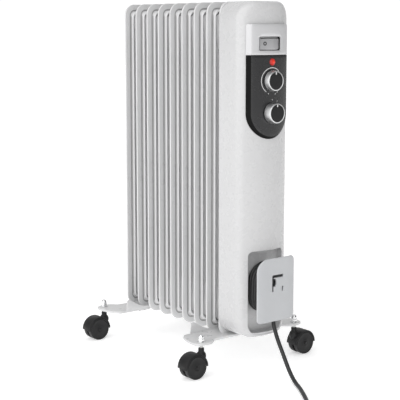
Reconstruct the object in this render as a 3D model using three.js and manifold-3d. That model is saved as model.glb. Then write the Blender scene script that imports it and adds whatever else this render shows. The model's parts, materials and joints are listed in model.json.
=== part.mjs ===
// Oil filled radiator heater with nine fins, on four swivel casters.
// Millimetres. X is the width, the control face looks towards -Y, Z is up, the floor is Z = 0.
// Every shape is drawn with Y measured from the front face of the ninth fin, the one next to the
// control cover. The finished meshes move by ORIGIN_Y, so that the origin is under the middle.
import * as THREE from "three";
import { mergeVertices } from "three/addons/utils/BufferGeometryUtils.js";
import Module from "manifold-3d";

const wasm = await Module();
wasm.setup();

// ---- driving dimensions ----
const ORIGIN_Y = -102.65;
const GAP = 0.3; // clearance between neighbouring pieces

const FIN_COUNT = 9;
const FIN_PITCH = 35.4;
const FIN_HALF_WIDTH = 52;
const FIN_BOTTOM = 55;
const FIN_TOP = 630;
const FIN_CORNER = 20;
const FIN_SHEET = 1.4; // the two pressed sheets together at the seam
const BEAD_HEIGHT = 7; // how far the pressed channel stands off the sheet
const BEAD_INSETS = [11.5, 15, 18.5]; // foot, crest, foot
const HUB_INSET = 50; // hub centre from the top and the bottom edge
const HUB_NECK = 22;
const HUB_FOOT = 34;
const HUB_FOOT_HEIGHT = 3.5;
const HUB_BORE = 19.5;
const HUB_CHAMBER = 31; // the hollow where the hub's foot spreads into the fin

const COVER_HALF_WIDTH = 54;
const COVER_BACK = -0.5;
const COVER_SIDE_FRONT = -51.4;
const COVER_BOW = 94; // radius of the bowed front, seen from above
const COVER_BOTTOM = 62.3;
const COVER_TOP = 630;
const COVER_CORNER = 30;
const COVER_EDGE = 9;
const COVER_WALL = 2;

const PANEL_HALF_WIDTH = 39.6;
const PANEL_DRAFT = 4.2; // how far the panel's foot spreads past its face on each side
const PANEL_TOP = 592.7;
const PANEL_STAND = 5.9;
const PANEL_SPLIT = 541.5; // where the silver upper part of the panel meets the black lower part

const SWITCH_X = -3;
const SWITCH_Z = 560.5;
const SWITCH_HALF_WIDTH = 22.5;
const SWITCH_HALF_HEIGHT = 11.5;
const LAMP_Z = 530.4;
const THERMOSTAT_Z = 499.4;
const SELECTOR_Z = 446.1;
const KNOB_RADIUS = 17.6;
const THERMOSTAT_KNOB_HEIGHT = 10.5;
const SELECTOR_KNOB_HEIGHT = 14.5;

const RECESS_HALF_WIDTH = 37;
const RECESS_TOP = 212;
const RECESS_BOTTOM = 68.5;
const RECESS_FLOOR = -49;
const WRAP_PLATE_HALF_WIDTH = 41;
const WRAP_PLATE_BOTTOM = 94.6;
const WRAP_PLATE_TOP = 203.4;
const WRAP_PLATE_FRONT = -92.3;
const WRAP_PLATE_SHEET = 3;
const WRAP_PLATE_BOW = 700;
const WRAP_Z = 148; // middle of the cord wrap
const WRAP_STRAIGHT = 24; // straight stretch of the wrap between its two round ends

const CORD_RADIUS = 3.5;
const CORD_BEND = 28.5; // radius of the wrapped cord's centre line
const CORD_TURNS = 4;
const GLAND_Y = -54.5; // the gland in the right-hand wall of the recess
const GLAND_Z = 107.5;

const BRACKET_TOP = 60;
const BRACKET_SHEET = 1.8;
const STEM_X = 106;
const FRONT_STEM_Y = -19.4;
const REAR_STEM_Y = 284.3;

const WHEEL_RADIUS = 20;
const WHEEL_WIDTH = 9.8;
const CASTER_TRAIL = 17.5;
const HOOD_RADIUS = 23.6;
const HOOD_HALF_WIDTH = 13;
const HOOD_WEB = 2.4;
const COLLAR_TOP = 50;
const COLLAR_RADIUS = 5;
const STEM_RADIUS = 3;

// ---- finishes ----
const FINISHES = {
  white_paint: { color: 0xeeeeec, roughness: 0.35, metalness: 0 },
  white_plastic: { color: 0xe9e9e8, roughness: 0.3, metalness: 0 },
  black_gloss: { color: 0x1c1c1d, roughness: 0.2, metalness: 0 },
  black_matt: { color: 0x232324, roughness: 0.6, metalness: 0 },
  grey_plastic: { color: 0xb9bcc0, roughness: 0.35, metalness: 0.2 },
  silver: { color: 0xc9cbce, roughness: 0.3, metalness: 0.7 },
  red_lens: { color: 0xd2261c, roughness: 0.15, metalness: 0 },
  chrome: { color: 0xd8dadd, roughness: 0.12, metalness: 1 },
  zinc: { color: 0xb4b8bb, roughness: 0.4, metalness: 0.9 },
  rubber: { color: 0x1a1a1b, roughness: 0.7, metalness: 0 },
};

// ---- solids ----
function solidOf(geometry) {
  const bare = geometry.index ? geometry.toNonIndexed() : geometry.clone();
  bare.deleteAttribute("normal");
  bare.deleteAttribute("uv");
  const merged = mergeVertices(bare, 1e-4);
  return new wasm.Manifold(
    new wasm.Mesh({
      numProp: 3,
      vertProperties: merged.attributes.position.array,
      triVerts: new Uint32Array(merged.index.array),
    }),
  );
}

function geometryOf(solid) {
  const mesh = solid.getMesh();
  const positions = new Float32Array(mesh.numVert * 3);
  for (let i = 0; i < mesh.numVert; i++) {
    const at = i * mesh.numProp;
    positions.set(mesh.vertProperties.subarray(at, at + 3), i * 3);
  }
  return new THREE.BufferGeometry()
    .setAttribute("position", new THREE.BufferAttribute(positions, 3))
    .setIndex(new THREE.BufferAttribute(new Uint32Array(mesh.triVerts), 1));
}

const join = (...solids) => solids.reduce((all, next) => all.add(next));

function box([x0, x1], [y0, y1], [z0, z1]) {
  const geometry = new THREE.BoxGeometry(x1 - x0, y1 - y0, z1 - z0);
  return solidOf(geometry.translate((x0 + x1) / 2, (y0 + y1) / 2, (z0 + z1) / 2));
}

// A lathe about the Z axis from [radius, z] pairs that start and end on the axis or close up.
function lathe(profile, segments) {
  const points = profile.map(([r, z]) => new THREE.Vector2(r, z));
  return solidOf(new THREE.LatheGeometry(points, segments).rotateX(Math.PI / 2));
}

// A round bar between two heights, with a radius at each end.
function bar(r0, r1, z0, z1, segments) {
  return lathe([[0, z0], [r0, z0], [r1, z1], [0, z1]], segments);
}

// Stands a Z-axis solid along Y: its Z becomes -Y, so that higher is nearer to the viewer.
const alongY = (solid) => solid.rotate([90, 0, 0]);

// Stands a Z-axis solid along X: its Z becomes +X.
const alongX = (solid) => solid.rotate([0, 90, 0]);

function roundedRectangle(halfWidth, bottom, top, radius, segments, lowRadius = radius) {
  const points = [];
  const corners = [
    [halfWidth - lowRadius, bottom + lowRadius, -90, lowRadius],
    [halfWidth - radius, top - radius, 0, radius],
    [radius - halfWidth, top - radius, 90, radius],
    [lowRadius - halfWidth, bottom + lowRadius, 180, lowRadius],
  ];
  for (const [x, z, start, radius] of corners) {
    for (let i = 0; i <= segments; i++) {
      const turn = THREE.MathUtils.degToRad(start + (90 * i) / segments);
      points.push([x + radius * Math.cos(turn), z + radius * Math.sin(turn)]);
    }
  }
  return points;
}

// A plate with an XZ outline between two Y planes.
function plateXZ(outline, [y0, y1]) {
  const shape = new THREE.Shape(outline.map(([x, z]) => new THREE.Vector2(x, z)));
  const geometry = new THREE.ExtrudeGeometry(shape, {
    depth: y1 - y0,
    bevelEnabled: false,
  });
  return solidOf(geometry.rotateX(Math.PI / 2).translate(0, y1, 0));
}

// A plate with an XY outline between two Z planes.
function plateXY(outline, [z0, z1]) {
  const shape = new THREE.Shape(outline.map(([x, y]) => new THREE.Vector2(x, y)));
  const geometry = new THREE.ExtrudeGeometry(shape, {
    depth: z1 - z0,
    bevelEnabled: false,
  });
  return solidOf(geometry.translate(0, 0, z0));
}

// Skins a row of closed sections. The last one joins the first if the row is a ring,
// and flat fans close the ends if it isn't.
function skin(sections, ring) {
  const count = sections[0].length;
  const points = sections.flat();
  const triangles = [];
  const last = ring ? sections.length : sections.length - 1;
  for (let s = 0; s < last; s++) {
    const a = s * count;
    const b = ((s + 1) % sections.length) * count;
    for (let i = 0; i < count; i++) {
      const j = (i + 1) % count;
      triangles.push(a + i, a + j, b + j, a + i, b + j, b + i);
    }
  }
  if (!ring) {
    const end = (sections.length - 1) * count;
    for (let i = 1; i < count - 1; i++) {
      triangles.push(0, i + 1, i, end, end + i, end + i + 1);
    }
  }
  const geometry = new THREE.BufferGeometry().setFromPoints(
    points.map((p) => new THREE.Vector3(...p)),
  );
  const solid = solidOf(geometry.setIndex(triangles));
  if (solid.volume() > 0) return solid;
  const turned = [];
  for (let i = 0; i < triangles.length; i += 3) {
    turned.push(triangles[i], triangles[i + 2], triangles[i + 1]);
  }
  return solidOf(geometry.setIndex(turned));
}

// A round tube along a curve.
function tube(curve, radius, steps, sides) {
  const points = [];
  for (let i = 0; i < sides; i++) {
    const turn = (2 * Math.PI * i) / sides;
    points.push(new THREE.Vector2(radius * Math.cos(turn), radius * Math.sin(turn)));
  }
  return solidOf(
    new THREE.ExtrudeGeometry(new THREE.Shape(points), { steps, extrudePath: curve }),
  );
}

// ---- the assembly ----
const heater = new THREE.Group();

function put(name, finish, solid) {
  const geometry = geometryOf(solid.translate([0, ORIGIN_Y, 0]));
  geometry.computeVertexNormals();
  const material = new THREE.MeshStandardMaterial(FINISHES[finish]);
  const mesh = new THREE.Mesh(geometry, material);
  mesh.name = name;
  heater.add(mesh);
}

const finFace = (number) => (FIN_COUNT - number) * FIN_PITCH;
const HUB_HEIGHTS = [FIN_BOTTOM + HUB_INSET, FIN_TOP - HUB_INSET];

// ---- fins ----
function insetRing(inset, segments) {
  return roundedRectangle(
    FIN_HALF_WIDTH - inset,
    FIN_BOTTOM + inset,
    FIN_TOP - inset,
    Math.max(FIN_CORNER - inset * 0.6, 4),
    segments,
  );
}

function bead(face, outwards) {
  const foot = face - outwards * 0.6;
  const crest = face + outwards * BEAD_HEIGHT;
  const rings = BEAD_INSETS.map((inset) => insetRing(inset, 2));
  const depths = [foot, crest, foot];
  const sections = rings[0].map((_, i) =>
    rings.map((ring, k) => [ring[i][0], depths[k], ring[i][1]]),
  );
  return skin(sections, true);
}

function hub(height, face, outwards, reach) {
  const profile = [
    [0, 0],
    [HUB_FOOT, 0],
    [HUB_FOOT, HUB_FOOT_HEIGHT],
    [HUB_NECK, 9.6],
    [HUB_NECK, reach],
    [0, reach],
  ];
  const solid = alongY(lathe(profile, 10));
  const turned = outwards < 0 ? solid : solid.rotate([0, 0, 180]);
  return turned.translate([0, face, height]);
}

// The blind hub at the back of the last fin.
function hubCap(height, face) {
  const profile = [[0, 0], [HUB_FOOT, 0], [HUB_FOOT, 4], [HUB_NECK, 7.5], [0, 7.5]];
  return alongY(lathe(profile, 10)).rotate([0, 0, 180]).translate([0, face, height]);
}

function fin(number) {
  const face = finFace(number);
  const back = face + FIN_SHEET;
  const reach = (FIN_PITCH - FIN_SHEET - GAP) / 2;
  const first = number === 1;
  const last = number === FIN_COUNT;
  let solid = join(plateXZ(insetRing(0, 3), [face, back]), bead(face, -1), bead(back, 1));
  for (const height of HUB_HEIGHTS) {
    const foot = HUB_FOOT_HEIGHT - 1.5;
    const bore = alongY(
      lathe(
        [
          [0, first ? -foot : -FIN_PITCH],
          [first ? HUB_CHAMBER : HUB_BORE, first ? -foot : -FIN_PITCH],
          [first ? HUB_CHAMBER : HUB_BORE, -foot - 6],
          [HUB_CHAMBER, -foot],
          [HUB_CHAMBER, foot],
          [HUB_BORE, foot + 6],
          [HUB_BORE, FIN_PITCH],
          [0, FIN_PITCH],
        ],
        10,
      ),
    ).translate([0, (face + back) / 2, 0]);
    solid = solid
      .add(hub(height, face + 0.5, -1, last ? 10 : reach + 0.5))
      .add(first ? hubCap(height, back - 0.5) : hub(height, back - 0.5, 1, reach + 0.5))
      .subtract(bore.translate([0, 0, height]));
  }
  return solid;
}

for (let number = 1; number <= FIN_COUNT; number++) {
  put(`fin_${number}`, "white_paint", fin(number));
}

// ---- heating element and filler cap, in the openings of the ninth fin ----
const [LOWER_HUB, UPPER_HUB] = HUB_HEIGHTS;
const HUB_MOUTH = -9.5; // front edge of the ninth fin's hubs

function hairpin(x) {
  const reach = finFace(1) - 14;
  const half = 7.5;
  const start = HUB_MOUTH - 4;
  const leg = alongY(bar(3.6, 3.6, -reach, -start, 6));
  const arc = [];
  for (let i = 0; i <= 6; i++) {
    const turn = Math.PI * (i / 6 - 0.5);
    const along = reach - 0.5 + half * Math.cos(turn);
    arc.push(new THREE.Vector3(0, along, half * Math.sin(turn)));
  }
  const bend = tube(new THREE.CatmullRomCurve3(arc), 3.6, 6, 6);
  return join(leg.translate([0, 0, -half]), leg.translate([0, 0, half]), bend)
    .translate([x, 0, LOWER_HUB]);
}

const elementFlange = alongY(
  lathe([[0, 0], [23, 0], [23, 4], [14, 5.5], [14, 9], [0, 9]], 14),
).translate([0, HUB_MOUTH - GAP, LOWER_HUB]);
const elementSpigot = alongY(bar(15.7, 15.7, -6, 1, 14)).translate([
  0,
  HUB_MOUTH - GAP,
  LOWER_HUB,
]);
const terminal = (x, z) =>
  alongY(bar(2, 2, 0, 16, 6)).translate([x, HUB_MOUTH - GAP, LOWER_HUB + z]);
put(
  "heating_element",
  "zinc",
  join(
    elementFlange,
    elementSpigot,
    hairpin(-7.5),
    hairpin(7.5),
    terminal(-7.5, -7.5),
    terminal(-7.5, 7.5),
    terminal(7.5, -7.5),
    terminal(7.5, 7.5),
  ),
);

const fillerCap = join(
  alongY(bar(15.7, 15.7, -6, 1, 14)),
  alongY(lathe([[0, 0], [23, 0], [23, 2.5], [8, 4], [8, 6.5], [0, 6.5]], 14)),
);
put("oil_filler_cap", "zinc", fillerCap.translate([0, HUB_MOUTH - GAP, UPPER_HUB]));

// ---- control cover ----
// Y of the bowed front at a given X. Stand is how far proud of the cover's own front it is.
function frontY(x, stand = 0) {
  const side = Math.sqrt(COVER_BOW ** 2 - COVER_HALF_WIDTH ** 2);
  const radius = COVER_BOW + stand;
  return COVER_SIDE_FRONT + side - Math.sqrt(radius ** 2 - x ** 2);
}

// The cover's body at one X: its outline in Y and Z. Inset shrinks it on every side but the back.
function coverSection(x, inset, back) {
  const halfWidth = COVER_HALF_WIDTH - inset;
  const corner = COVER_CORNER - inset;
  const edge = COVER_EDGE - inset * 0.8;
  const fromSide = halfWidth - Math.abs(x);
  const drop = (radius) =>
    fromSide >= radius ? 0 : radius - Math.sqrt(radius ** 2 - (radius - fromSide) ** 2);
  const top = COVER_TOP - inset - drop(corner);
  const bottom = COVER_BOTTOM + inset + drop(corner);
  const front = frontY(Math.min(Math.abs(x), halfWidth - 1), -inset) + drop(edge);
  const points = [[back, bottom], [back, top]];
  for (const turn of [0, 45, 90]) {
    const angle = THREE.MathUtils.degToRad(turn);
    const away = edge * (1 - Math.sin(angle));
    points.push([front + away, top - edge * (1 - Math.cos(angle))]);
  }
  for (const turn of [90, 45, 0]) {
    const angle = THREE.MathUtils.degToRad(turn);
    const away = edge * (1 - Math.sin(angle));
    points.push([front + away, bottom + edge * (1 - Math.cos(angle))]);
  }
  return points.map(([y, z]) => [x, y, z]);
}

function coverBody(inset, back) {
  const w = COVER_HALF_WIDTH - inset;
  const half = [0, 14, 28, w - 15, w - 7, w - 2.5, w - 0.6, w];
  const xs = [...half.slice(1).reverse().map((x) => -x), ...half];
  return skin(xs.map((x) => coverSection(x, inset, back)), false);
}

const shell = coverBody(0, COVER_BACK).subtract(coverBody(COVER_WALL, 5));
const pocketOutline = (grow) =>
  roundedRectangle(
    RECESS_HALF_WIDTH + grow,
    RECESS_BOTTOM - grow,
    RECESS_TOP + grow,
    7 + grow,
    3,
    18 + grow,
  );
const pocketWalls = plateXZ(pocketOutline(COVER_WALL), [-90, RECESS_FLOOR + COVER_WALL])
  .intersect(coverBody(0, COVER_BACK));
const pocket = plateXZ(pocketOutline(0), [-100, RECESS_FLOOR]);
const hole = (radius, x, z, y0, y1) =>
  alongY(bar(radius, radius, -y1, -y0, 14)).translate([x, 0, z]);
let cover = join(shell, pocketWalls).subtract(pocket);
for (const [z, radius] of [[LAMP_Z, 5], [THERMOSTAT_Z, 9], [SELECTOR_Z, 9]]) {
  cover = cover.subtract(hole(radius, 0, z, -80, -55));
}
const switchHole = (grow) =>
  plateXZ(
    roundedRectangle(
      SWITCH_HALF_WIDTH + grow,
      SWITCH_Z - SWITCH_HALF_HEIGHT - grow,
      SWITCH_Z + SWITCH_HALF_HEIGHT + grow,
      2.5,
      2,
    ),
    [-90, -44],
  ).translate([SWITCH_X, 0, 0]);
const glandHole = alongX(bar(4.6, 4.6, RECESS_HALF_WIDTH - 4, RECESS_HALF_WIDTH + 4, 12));
cover = cover.subtract(switchHole(0.4)).subtract(glandHole.translate([0, GLAND_Y, GLAND_Z]));
put("front_cover", "white_paint", cover);

const backPlate = plateXZ(
  roundedRectangle(COVER_HALF_WIDTH - 4, COVER_BOTTOM + 4, COVER_TOP - 4, COVER_CORNER - 4, 4),
  [-17.9, -16.7],
)
  .subtract(hole(16, 0, LOWER_HUB, -20, -15))
  .subtract(hole(11, 0, UPPER_HUB, -20, -15));
put("back_plate", "white_paint", backPlate);

// ---- control panel, bowed with the cover ----
// A bowed plate from its foot on the cover to its face. Its sides lean in by PANEL_DRAFT.
function bowed(xs, bottomAt, topAt, footStand, faceStand) {
  return skin(
    xs.map((x) => {
      const footX = x * (1 + PANEL_DRAFT / PANEL_HALF_WIDTH);
      return [
        [footX, frontY(footX, footStand), bottomAt(footX, PANEL_HALF_WIDTH + PANEL_DRAFT)],
        [footX, frontY(footX, footStand), topAt(x)],
        [x, frontY(x, faceStand), topAt(x)],
        [x, frontY(x, faceStand), bottomAt(x, PANEL_HALF_WIDTH)],
      ];
    }),
    false,
  );
}

function spread(halfWidth, fractions) {
  const xs = fractions.map((f) => f * halfWidth);
  return [...xs.slice(1).reverse().map((x) => -x), ...xs];
}

// The bottom of the panel is round about the selector's axis.
const PANEL_XS = spread(PANEL_HALF_WIDTH, [0, 0.25, 0.5, 0.7, 0.84, 0.93, 0.98, 1]);
const panelBottom = (x, radius) => SELECTOR_Z - Math.sqrt(Math.max(radius ** 2 - x ** 2, 0));
const panelTop = (x) => {
  const nearEdge = Math.max(0, (Math.abs(x) / PANEL_HALF_WIDTH - 0.9) * 10);
  return PANEL_TOP - 3 * nearEdge ** 2;
};
const blackPanel = bowed(PANEL_XS, panelBottom, () => PANEL_SPLIT, GAP, PANEL_STAND)
  .subtract(hole(5, 0, LAMP_Z, -90, -55))
  .subtract(hole(5, 0, THERMOSTAT_Z, -90, -55))
  .subtract(hole(5, 0, SELECTOR_Z, -90, -55));
put("control_panel", "black_gloss", blackPanel);
put(
  "label_plate",
  "silver",
  bowed(PANEL_XS, () => PANEL_SPLIT + GAP, panelTop, GAP, PANEL_STAND).subtract(switchHole(0)),
);

// ---- rocker switch ----
const PANEL_FACE = frontY(0, PANEL_STAND);
const ROCKER_PIVOT_Y = PANEL_FACE + 7;
const rockerRoom = box(
  [SWITCH_X - 21.6, SWITCH_X + 21.6],
  [-95, PANEL_FACE + 14],
  [SWITCH_Z - 10.7, SWITCH_Z + 10.7],
);
const switchFrame = switchHole(-GAP)
  .subtract(rockerRoom)
  .subtract(box([-60, 60], [-95, PANEL_FACE + 2.6], [500, 620]));
put("rocker_switch_body", "black_matt", switchFrame);

const rockerHalf = 21;
const rockerOutline = [
  [-rockerHalf, -1.4],
  [-rockerHalf, 3],
  [-6, 6.5],
  [6, 6.5],
  [rockerHalf, 3],
  [rockerHalf, -1.6],
  [10, -5.6],
  [7, -6.2],
  [3, -6.1],
];
const rocker = plateXY(rockerOutline, [SWITCH_Z - 10.2, SWITCH_Z + 8.4]).translate([
  SWITCH_X,
  ROCKER_PIVOT_Y - 0.6,
  0,
]);
put("rocker", "silver", rocker);

// ---- pilot lamp ----
put(
  "pilot_lamp",
  "red_lens",
  alongY(
    lathe([[0, 0], [4.6, 0], [4.6, 22.4], [5.6, 22.4], [4.6, 24.6], [0, 25.7]], 14),
  ).translate([0, PANEL_FACE + 22, LAMP_Z]),
);

// ---- thermostat and power selector ----
function controlBody(halfWidth, halfHeight, depth, z) {
  const front = frontY(0, -COVER_WALL) + 1.8;
  const body = box(
    [-halfWidth, halfWidth],
    [front, front + depth],
    [z - halfHeight, z + halfHeight],
  );
  const collar = alongY(bar(8, 8, -front - 1, -front + 1.8, 16)).translate([0, 0, z]);
  const bore = alongY(bar(3.4, 3.4, -front - depth + 4, -front + 10, 12)).translate([0, 0, z]);
  return join(body, collar).subtract(bore);
}
put("thermostat_body", "black_matt", controlBody(16, 16, 20, THERMOSTAT_Z));
put("selector_body", "black_matt", controlBody(15, 15, 24, SELECTOR_Z));

const SHAFT_BACK = frontY(0, -COVER_WALL) + 12;
function shaft(z, height) {
  const front = PANEL_FACE - height + 3;
  const round = alongY(bar(3, 3, -SHAFT_BACK, -front, 12)).translate([0, 0, z]);
  return round.subtract(box([-4, 4], [front - 1, PANEL_FACE - 1], [z + 1.6, z + 4]));
}
put("thermostat_shaft", "zinc", shaft(THERMOSTAT_Z, THERMOSTAT_KNOB_HEIGHT));
put("selector_shaft", "zinc", shaft(SELECTOR_Z, SELECTOR_KNOB_HEIGHT));

function knob(z, height) {
  const r = KNOB_RADIUS;
  const rear = PANEL_FACE - 0.6;
  const profile = [
    [3.4, 0],
    [r, 0],
    [r, 1.2],
    [r - 1.5, height],
    [0, height],
    [0, height - 2.4],
    [3.4, height - 2.4],
    [3.4, 0],
  ];
  const notch = box([-1, 1], [rear - height - 1, rear - height + 1.4], [z + 7, z + r - 2.6]);
  const body = alongY(lathe(profile, 24)).translate([0, rear, z]);
  return body.subtract(notch);
}
put("thermostat_knob", "silver", knob(THERMOSTAT_Z, THERMOSTAT_KNOB_HEIGHT - 0.6));
put("selector_knob", "silver", knob(SELECTOR_Z, SELECTOR_KNOB_HEIGHT - 0.6));

// ---- parts inside the cover ----
put("thermal_cutoff", "black_matt", join(
  alongY(bar(9, 9, 0, 6, 16)),
  alongY(bar(6, 6, 5, 9, 16)),
).translate([0, -18.2, 300]));
put("terminal_block", "white_plastic", box([-18, 18], [-32, -18.2], [236, 252]));

// ---- cord wrap ----
function stadium(radius, straight, segments) {
  const points = [];
  for (const [z, start] of [[straight / 2, 0], [-straight / 2, 180]]) {
    for (let i = 0; i <= segments; i++) {
      const turn = THREE.MathUtils.degToRad(start + (180 * i) / segments);
      points.push([radius * Math.cos(turn), WRAP_Z + z + radius * Math.sin(turn)]);
    }
  }
  return points;
}

const CORE_RADIUS = CORD_BEND - CORD_RADIUS - 0.6;
const plateY = (x, stand) =>
  WRAP_PLATE_FRONT + WRAP_PLATE_BOW - Math.sqrt((WRAP_PLATE_BOW + stand) ** 2 - x ** 2);
const CORE_FRONT = plateY(CORE_RADIUS, -WRAP_PLATE_SHEET) + GAP;
put(
  "cord_wrap_core",
  "grey_plastic",
  plateXZ(stadium(CORE_RADIUS, WRAP_STRAIGHT, 8), [CORE_FRONT, RECESS_FLOOR - GAP]).subtract(
    plateXZ(stadium(CORE_RADIUS - 2, WRAP_STRAIGHT, 8), [CORE_FRONT - 1, RECESS_FLOOR - 3]),
  ),
);

const wrapPlateXs = spread(
  WRAP_PLATE_HALF_WIDTH,
  [0, 0.35, 0.64, 0.78, 0.9, 0.97, 1],
);
const plateCorner = (x, radius) => {
  const fromSide = WRAP_PLATE_HALF_WIDTH - Math.abs(x);
  if (fromSide >= radius) return 0;
  return radius - Math.sqrt(Math.max(radius ** 2 - (radius - fromSide) ** 2, 0));
};
let wrapPlate = skin(
  wrapPlateXs.map((x) => {
    const low = WRAP_PLATE_BOTTOM + plateCorner(x, 6);
    const high = WRAP_PLATE_TOP - plateCorner(x, 13);
    return [
      [x, plateY(x, -WRAP_PLATE_SHEET), low],
      [x, plateY(x, -WRAP_PLATE_SHEET), high],
      [x, plateY(x, 0), high],
      [x, plateY(x, 0), low],
    ];
  }),
  false,
);
for (const [xs, zs] of [
  [[-11.1, -7.6], [146, 174.4]],
  [[-11.1, -1.6], [154.5, 168]],
  [[-11.1, 13.8], [169.6, 174.4]],
  [[10.6, 13.8], [145.4, 153.6]],
]) {
  wrapPlate = wrapPlate.subtract(box(xs, [-110, -80], zs));
}
put("cord_wrap_plate", "grey_plastic", wrapPlate);

const WINDING_BACK = RECESS_FLOOR - 0.5;
const WINDING_FRONT = WINDING_BACK - CORD_TURNS * 2 * (CORD_RADIUS + 0.1);
put(
  "cord_winding",
  "rubber",
  plateXZ(stadium(CORD_BEND + CORD_RADIUS, WRAP_STRAIGHT, 8), [WINDING_FRONT, WINDING_BACK])
    .subtract(
      plateXZ(stadium(CORE_RADIUS + GAP, WRAP_STRAIGHT, 8), [WINDING_FRONT - 1, WINDING_BACK + 1]),
    ),
);

// ---- cord from the wrap down to the floor, with its strain relief and plug ----
const glandProfile = [
  [0, 0],
  [4.3, 0],
  [4.3, 3.3],
  [5.2, 3.3],
  [5.2, 6],
  [4.5, 8],
  [4, 18.2],
  [0, 18.2],
];
put(
  "cord_gland",
  "rubber",
  alongX(lathe(glandProfile, 12))
    .rotate([0, 0, 180])
    .translate([RECESS_HALF_WIDTH + 3, GLAND_Y, GLAND_Z]),
);

// The cord leaves the right of the wrap, behind the plate, and follows its lower bend half way.
const TAIL_Y = WINDING_FRONT - CORD_RADIUS - 0.6;
const TAIL_POINTS = [
  [28.5, TAIL_Y, 162],
  [28.5, TAIL_Y, 149],
  [28.5, TAIL_Y, 136],
  [26.4, TAIL_Y, 125],
  [20.8, TAIL_Y, 115.8],
  [13.8, TAIL_Y, 109.9],
  [6.8, TAIL_Y, 103.9],
  [1.7, -82.9, 97],
  [-0.9, -84.6, 88.5],
  [-1.9, -90, 77],
  [-2.7, -98.5, 62],
  [-3.4, -109, 47],
  [-4.1, -119, 32.5],
  [-5.2, -129.5, 18.8],
  [-7.4, -141, 8.8],
  [-12.2, -154, 4.2],
  [-19.8, -169, 3.7],
  [-29, -185, 3.7],
  [-41.5, -205, 3.7],
  [-55.2, -225.5, 3.7],
  [-67.7, -241.3, 3.8],
  [-75.2, -251, 4.2],
  [-81.4, -259, 7],
  [-87.5, -267, 11.6],
  [-93.6, -274.8, 16.2],
  [-98.6, -281.3, 18.3],
  [-102.2, -286, 18.6],
];
const tail = new THREE.CatmullRomCurve3(TAIL_POINTS.map((p) => new THREE.Vector3(...p)));
put("cord_tail", "rubber", tube(tail, CORD_RADIUS, 42, 8));

const PLUG_TURN = 232.3; // the way the plug points on the floor, from +X
const plugBody = lathe(
  [
    [0, 0],
    [4.4, 0],
    [6.2, 30],
    [9, 34],
    [13, 40],
    [18.5, 45],
    [18.5, 62],
    [0, 62],
  ],
  14,
);
const plugPin = (side) => bar(2.4, 2.4, 61, 80, 8).translate([0, side * 9.5, 0]);
put(
  "plug",
  "rubber",
  join(plugBody, plugPin(-1), plugPin(1))
    .rotate([0, 90, PLUG_TURN])
    .translate([-102.4, -286.3, 18.6]),
);

// ---- foot brackets ----
// Drawn for the front bracket. The rear one is turned half round, with its own bolt and fin slots.
const BOLT_REACH = HUB_NECK + 3.8;
const BAR_BACK = 34;
const BAR_FRONT = -17;
const padSide = [
  [103, BAR_BACK],
  [112, 24],
  [118, 8],
  [121, -12],
  [120, -22],
  [114, -28],
  [104, -30],
  [92, -30],
  [84, -25],
  [76, BAR_FRONT],
];
const bracketOutline = [...padSide, ...padSide.map(([x, y]) => [-x, y]).reverse()];

// The outline moved inwards by a distance.
function insetOutline(outline, by) {
  const at = outline.map(([x, y]) => new THREE.Vector2(x, y));
  return at.map((p, i) => {
    const a = p.clone().sub(at[(i + at.length - 1) % at.length]).normalize();
    const b = at[(i + 1) % at.length].clone().sub(p).normalize();
    const inward = new THREE.Vector2(a.y + b.y, -a.x - b.x).normalize();
    const scale = by / Math.max(inward.dot(new THREE.Vector2(a.y, -a.x)), 0.5);
    return [p.x + inward.x * scale, p.y + inward.y * scale];
  });
}

function bracket(boltY, slotY) {
  const lip = BRACKET_TOP - 4;
  const under = insetOutline(bracketOutline, BRACKET_SHEET);
  const plate = plateXY(bracketOutline, [lip, BRACKET_TOP]).subtract(
    plateXY(under, [lip - 1, BRACKET_TOP - BRACKET_SHEET]),
  );
  const earSide = [[88, 79], [82, 79.5], [64, 68], [50, 62.5]];
  const ear = plateXZ(
    [
      [-90, BRACKET_TOP - 1],
      [90, BRACKET_TOP - 1],
      ...earSide,
      ...earSide.map(([x, z]) => [-x, z]).reverse(),
    ],
    [BAR_BACK - BRACKET_SHEET, BAR_BACK],
  );
  const slot = box([-47.5, 47.5], [slotY - 0.6, slotY + FIN_SHEET + 0.6], [50, 61]);
  let solid = join(plate, ear).subtract(slot);
  for (const side of [-1, 1]) {
    const stemHole = bar(3.5, 3.5, 50, 70, 8);
    const boltHole = bar(3.6, 3.6, 50, 70, 8);
    solid = solid
      .subtract(stemHole.translate([side * STEM_X, FRONT_STEM_Y, 0]))
      .subtract(boltHole.translate([side * BOLT_REACH, boltY, 0]));
  }
  return solid;
}

// ---- U-bolts round the lower hubs, with their wing nuts ----
function uBolt() {
  const points = [44, 74, LOWER_HUB].map((z) => new THREE.Vector3(BOLT_REACH, 0, z));
  for (let i = 1; i <= 7; i++) {
    const turn = (Math.PI * i) / 8;
    points.push(
      new THREE.Vector3(BOLT_REACH * Math.cos(turn), 0, LOWER_HUB + BOLT_REACH * Math.sin(turn)),
    );
  }
  for (const z of [LOWER_HUB, 74, 44]) points.push(new THREE.Vector3(-BOLT_REACH, 0, z));
  return tube(new THREE.CatmullRomCurve3(points), 3, 20, 8);
}

function wingNut() {
  const top = BRACKET_TOP - BRACKET_SHEET - GAP;
  const boss = bar(6, 5, top - 7, top, 8);
  const wings = plateXZ([[-14, 46.5], [-12, 44], [12, 44], [14, 46.5], [12, 55], [-12, 55]], [
    -1.2,
    1.2,
  ]);
  return join(boss, wings).subtract(bar(3.4, 3.4, 40, 62, 8));
}

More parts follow.
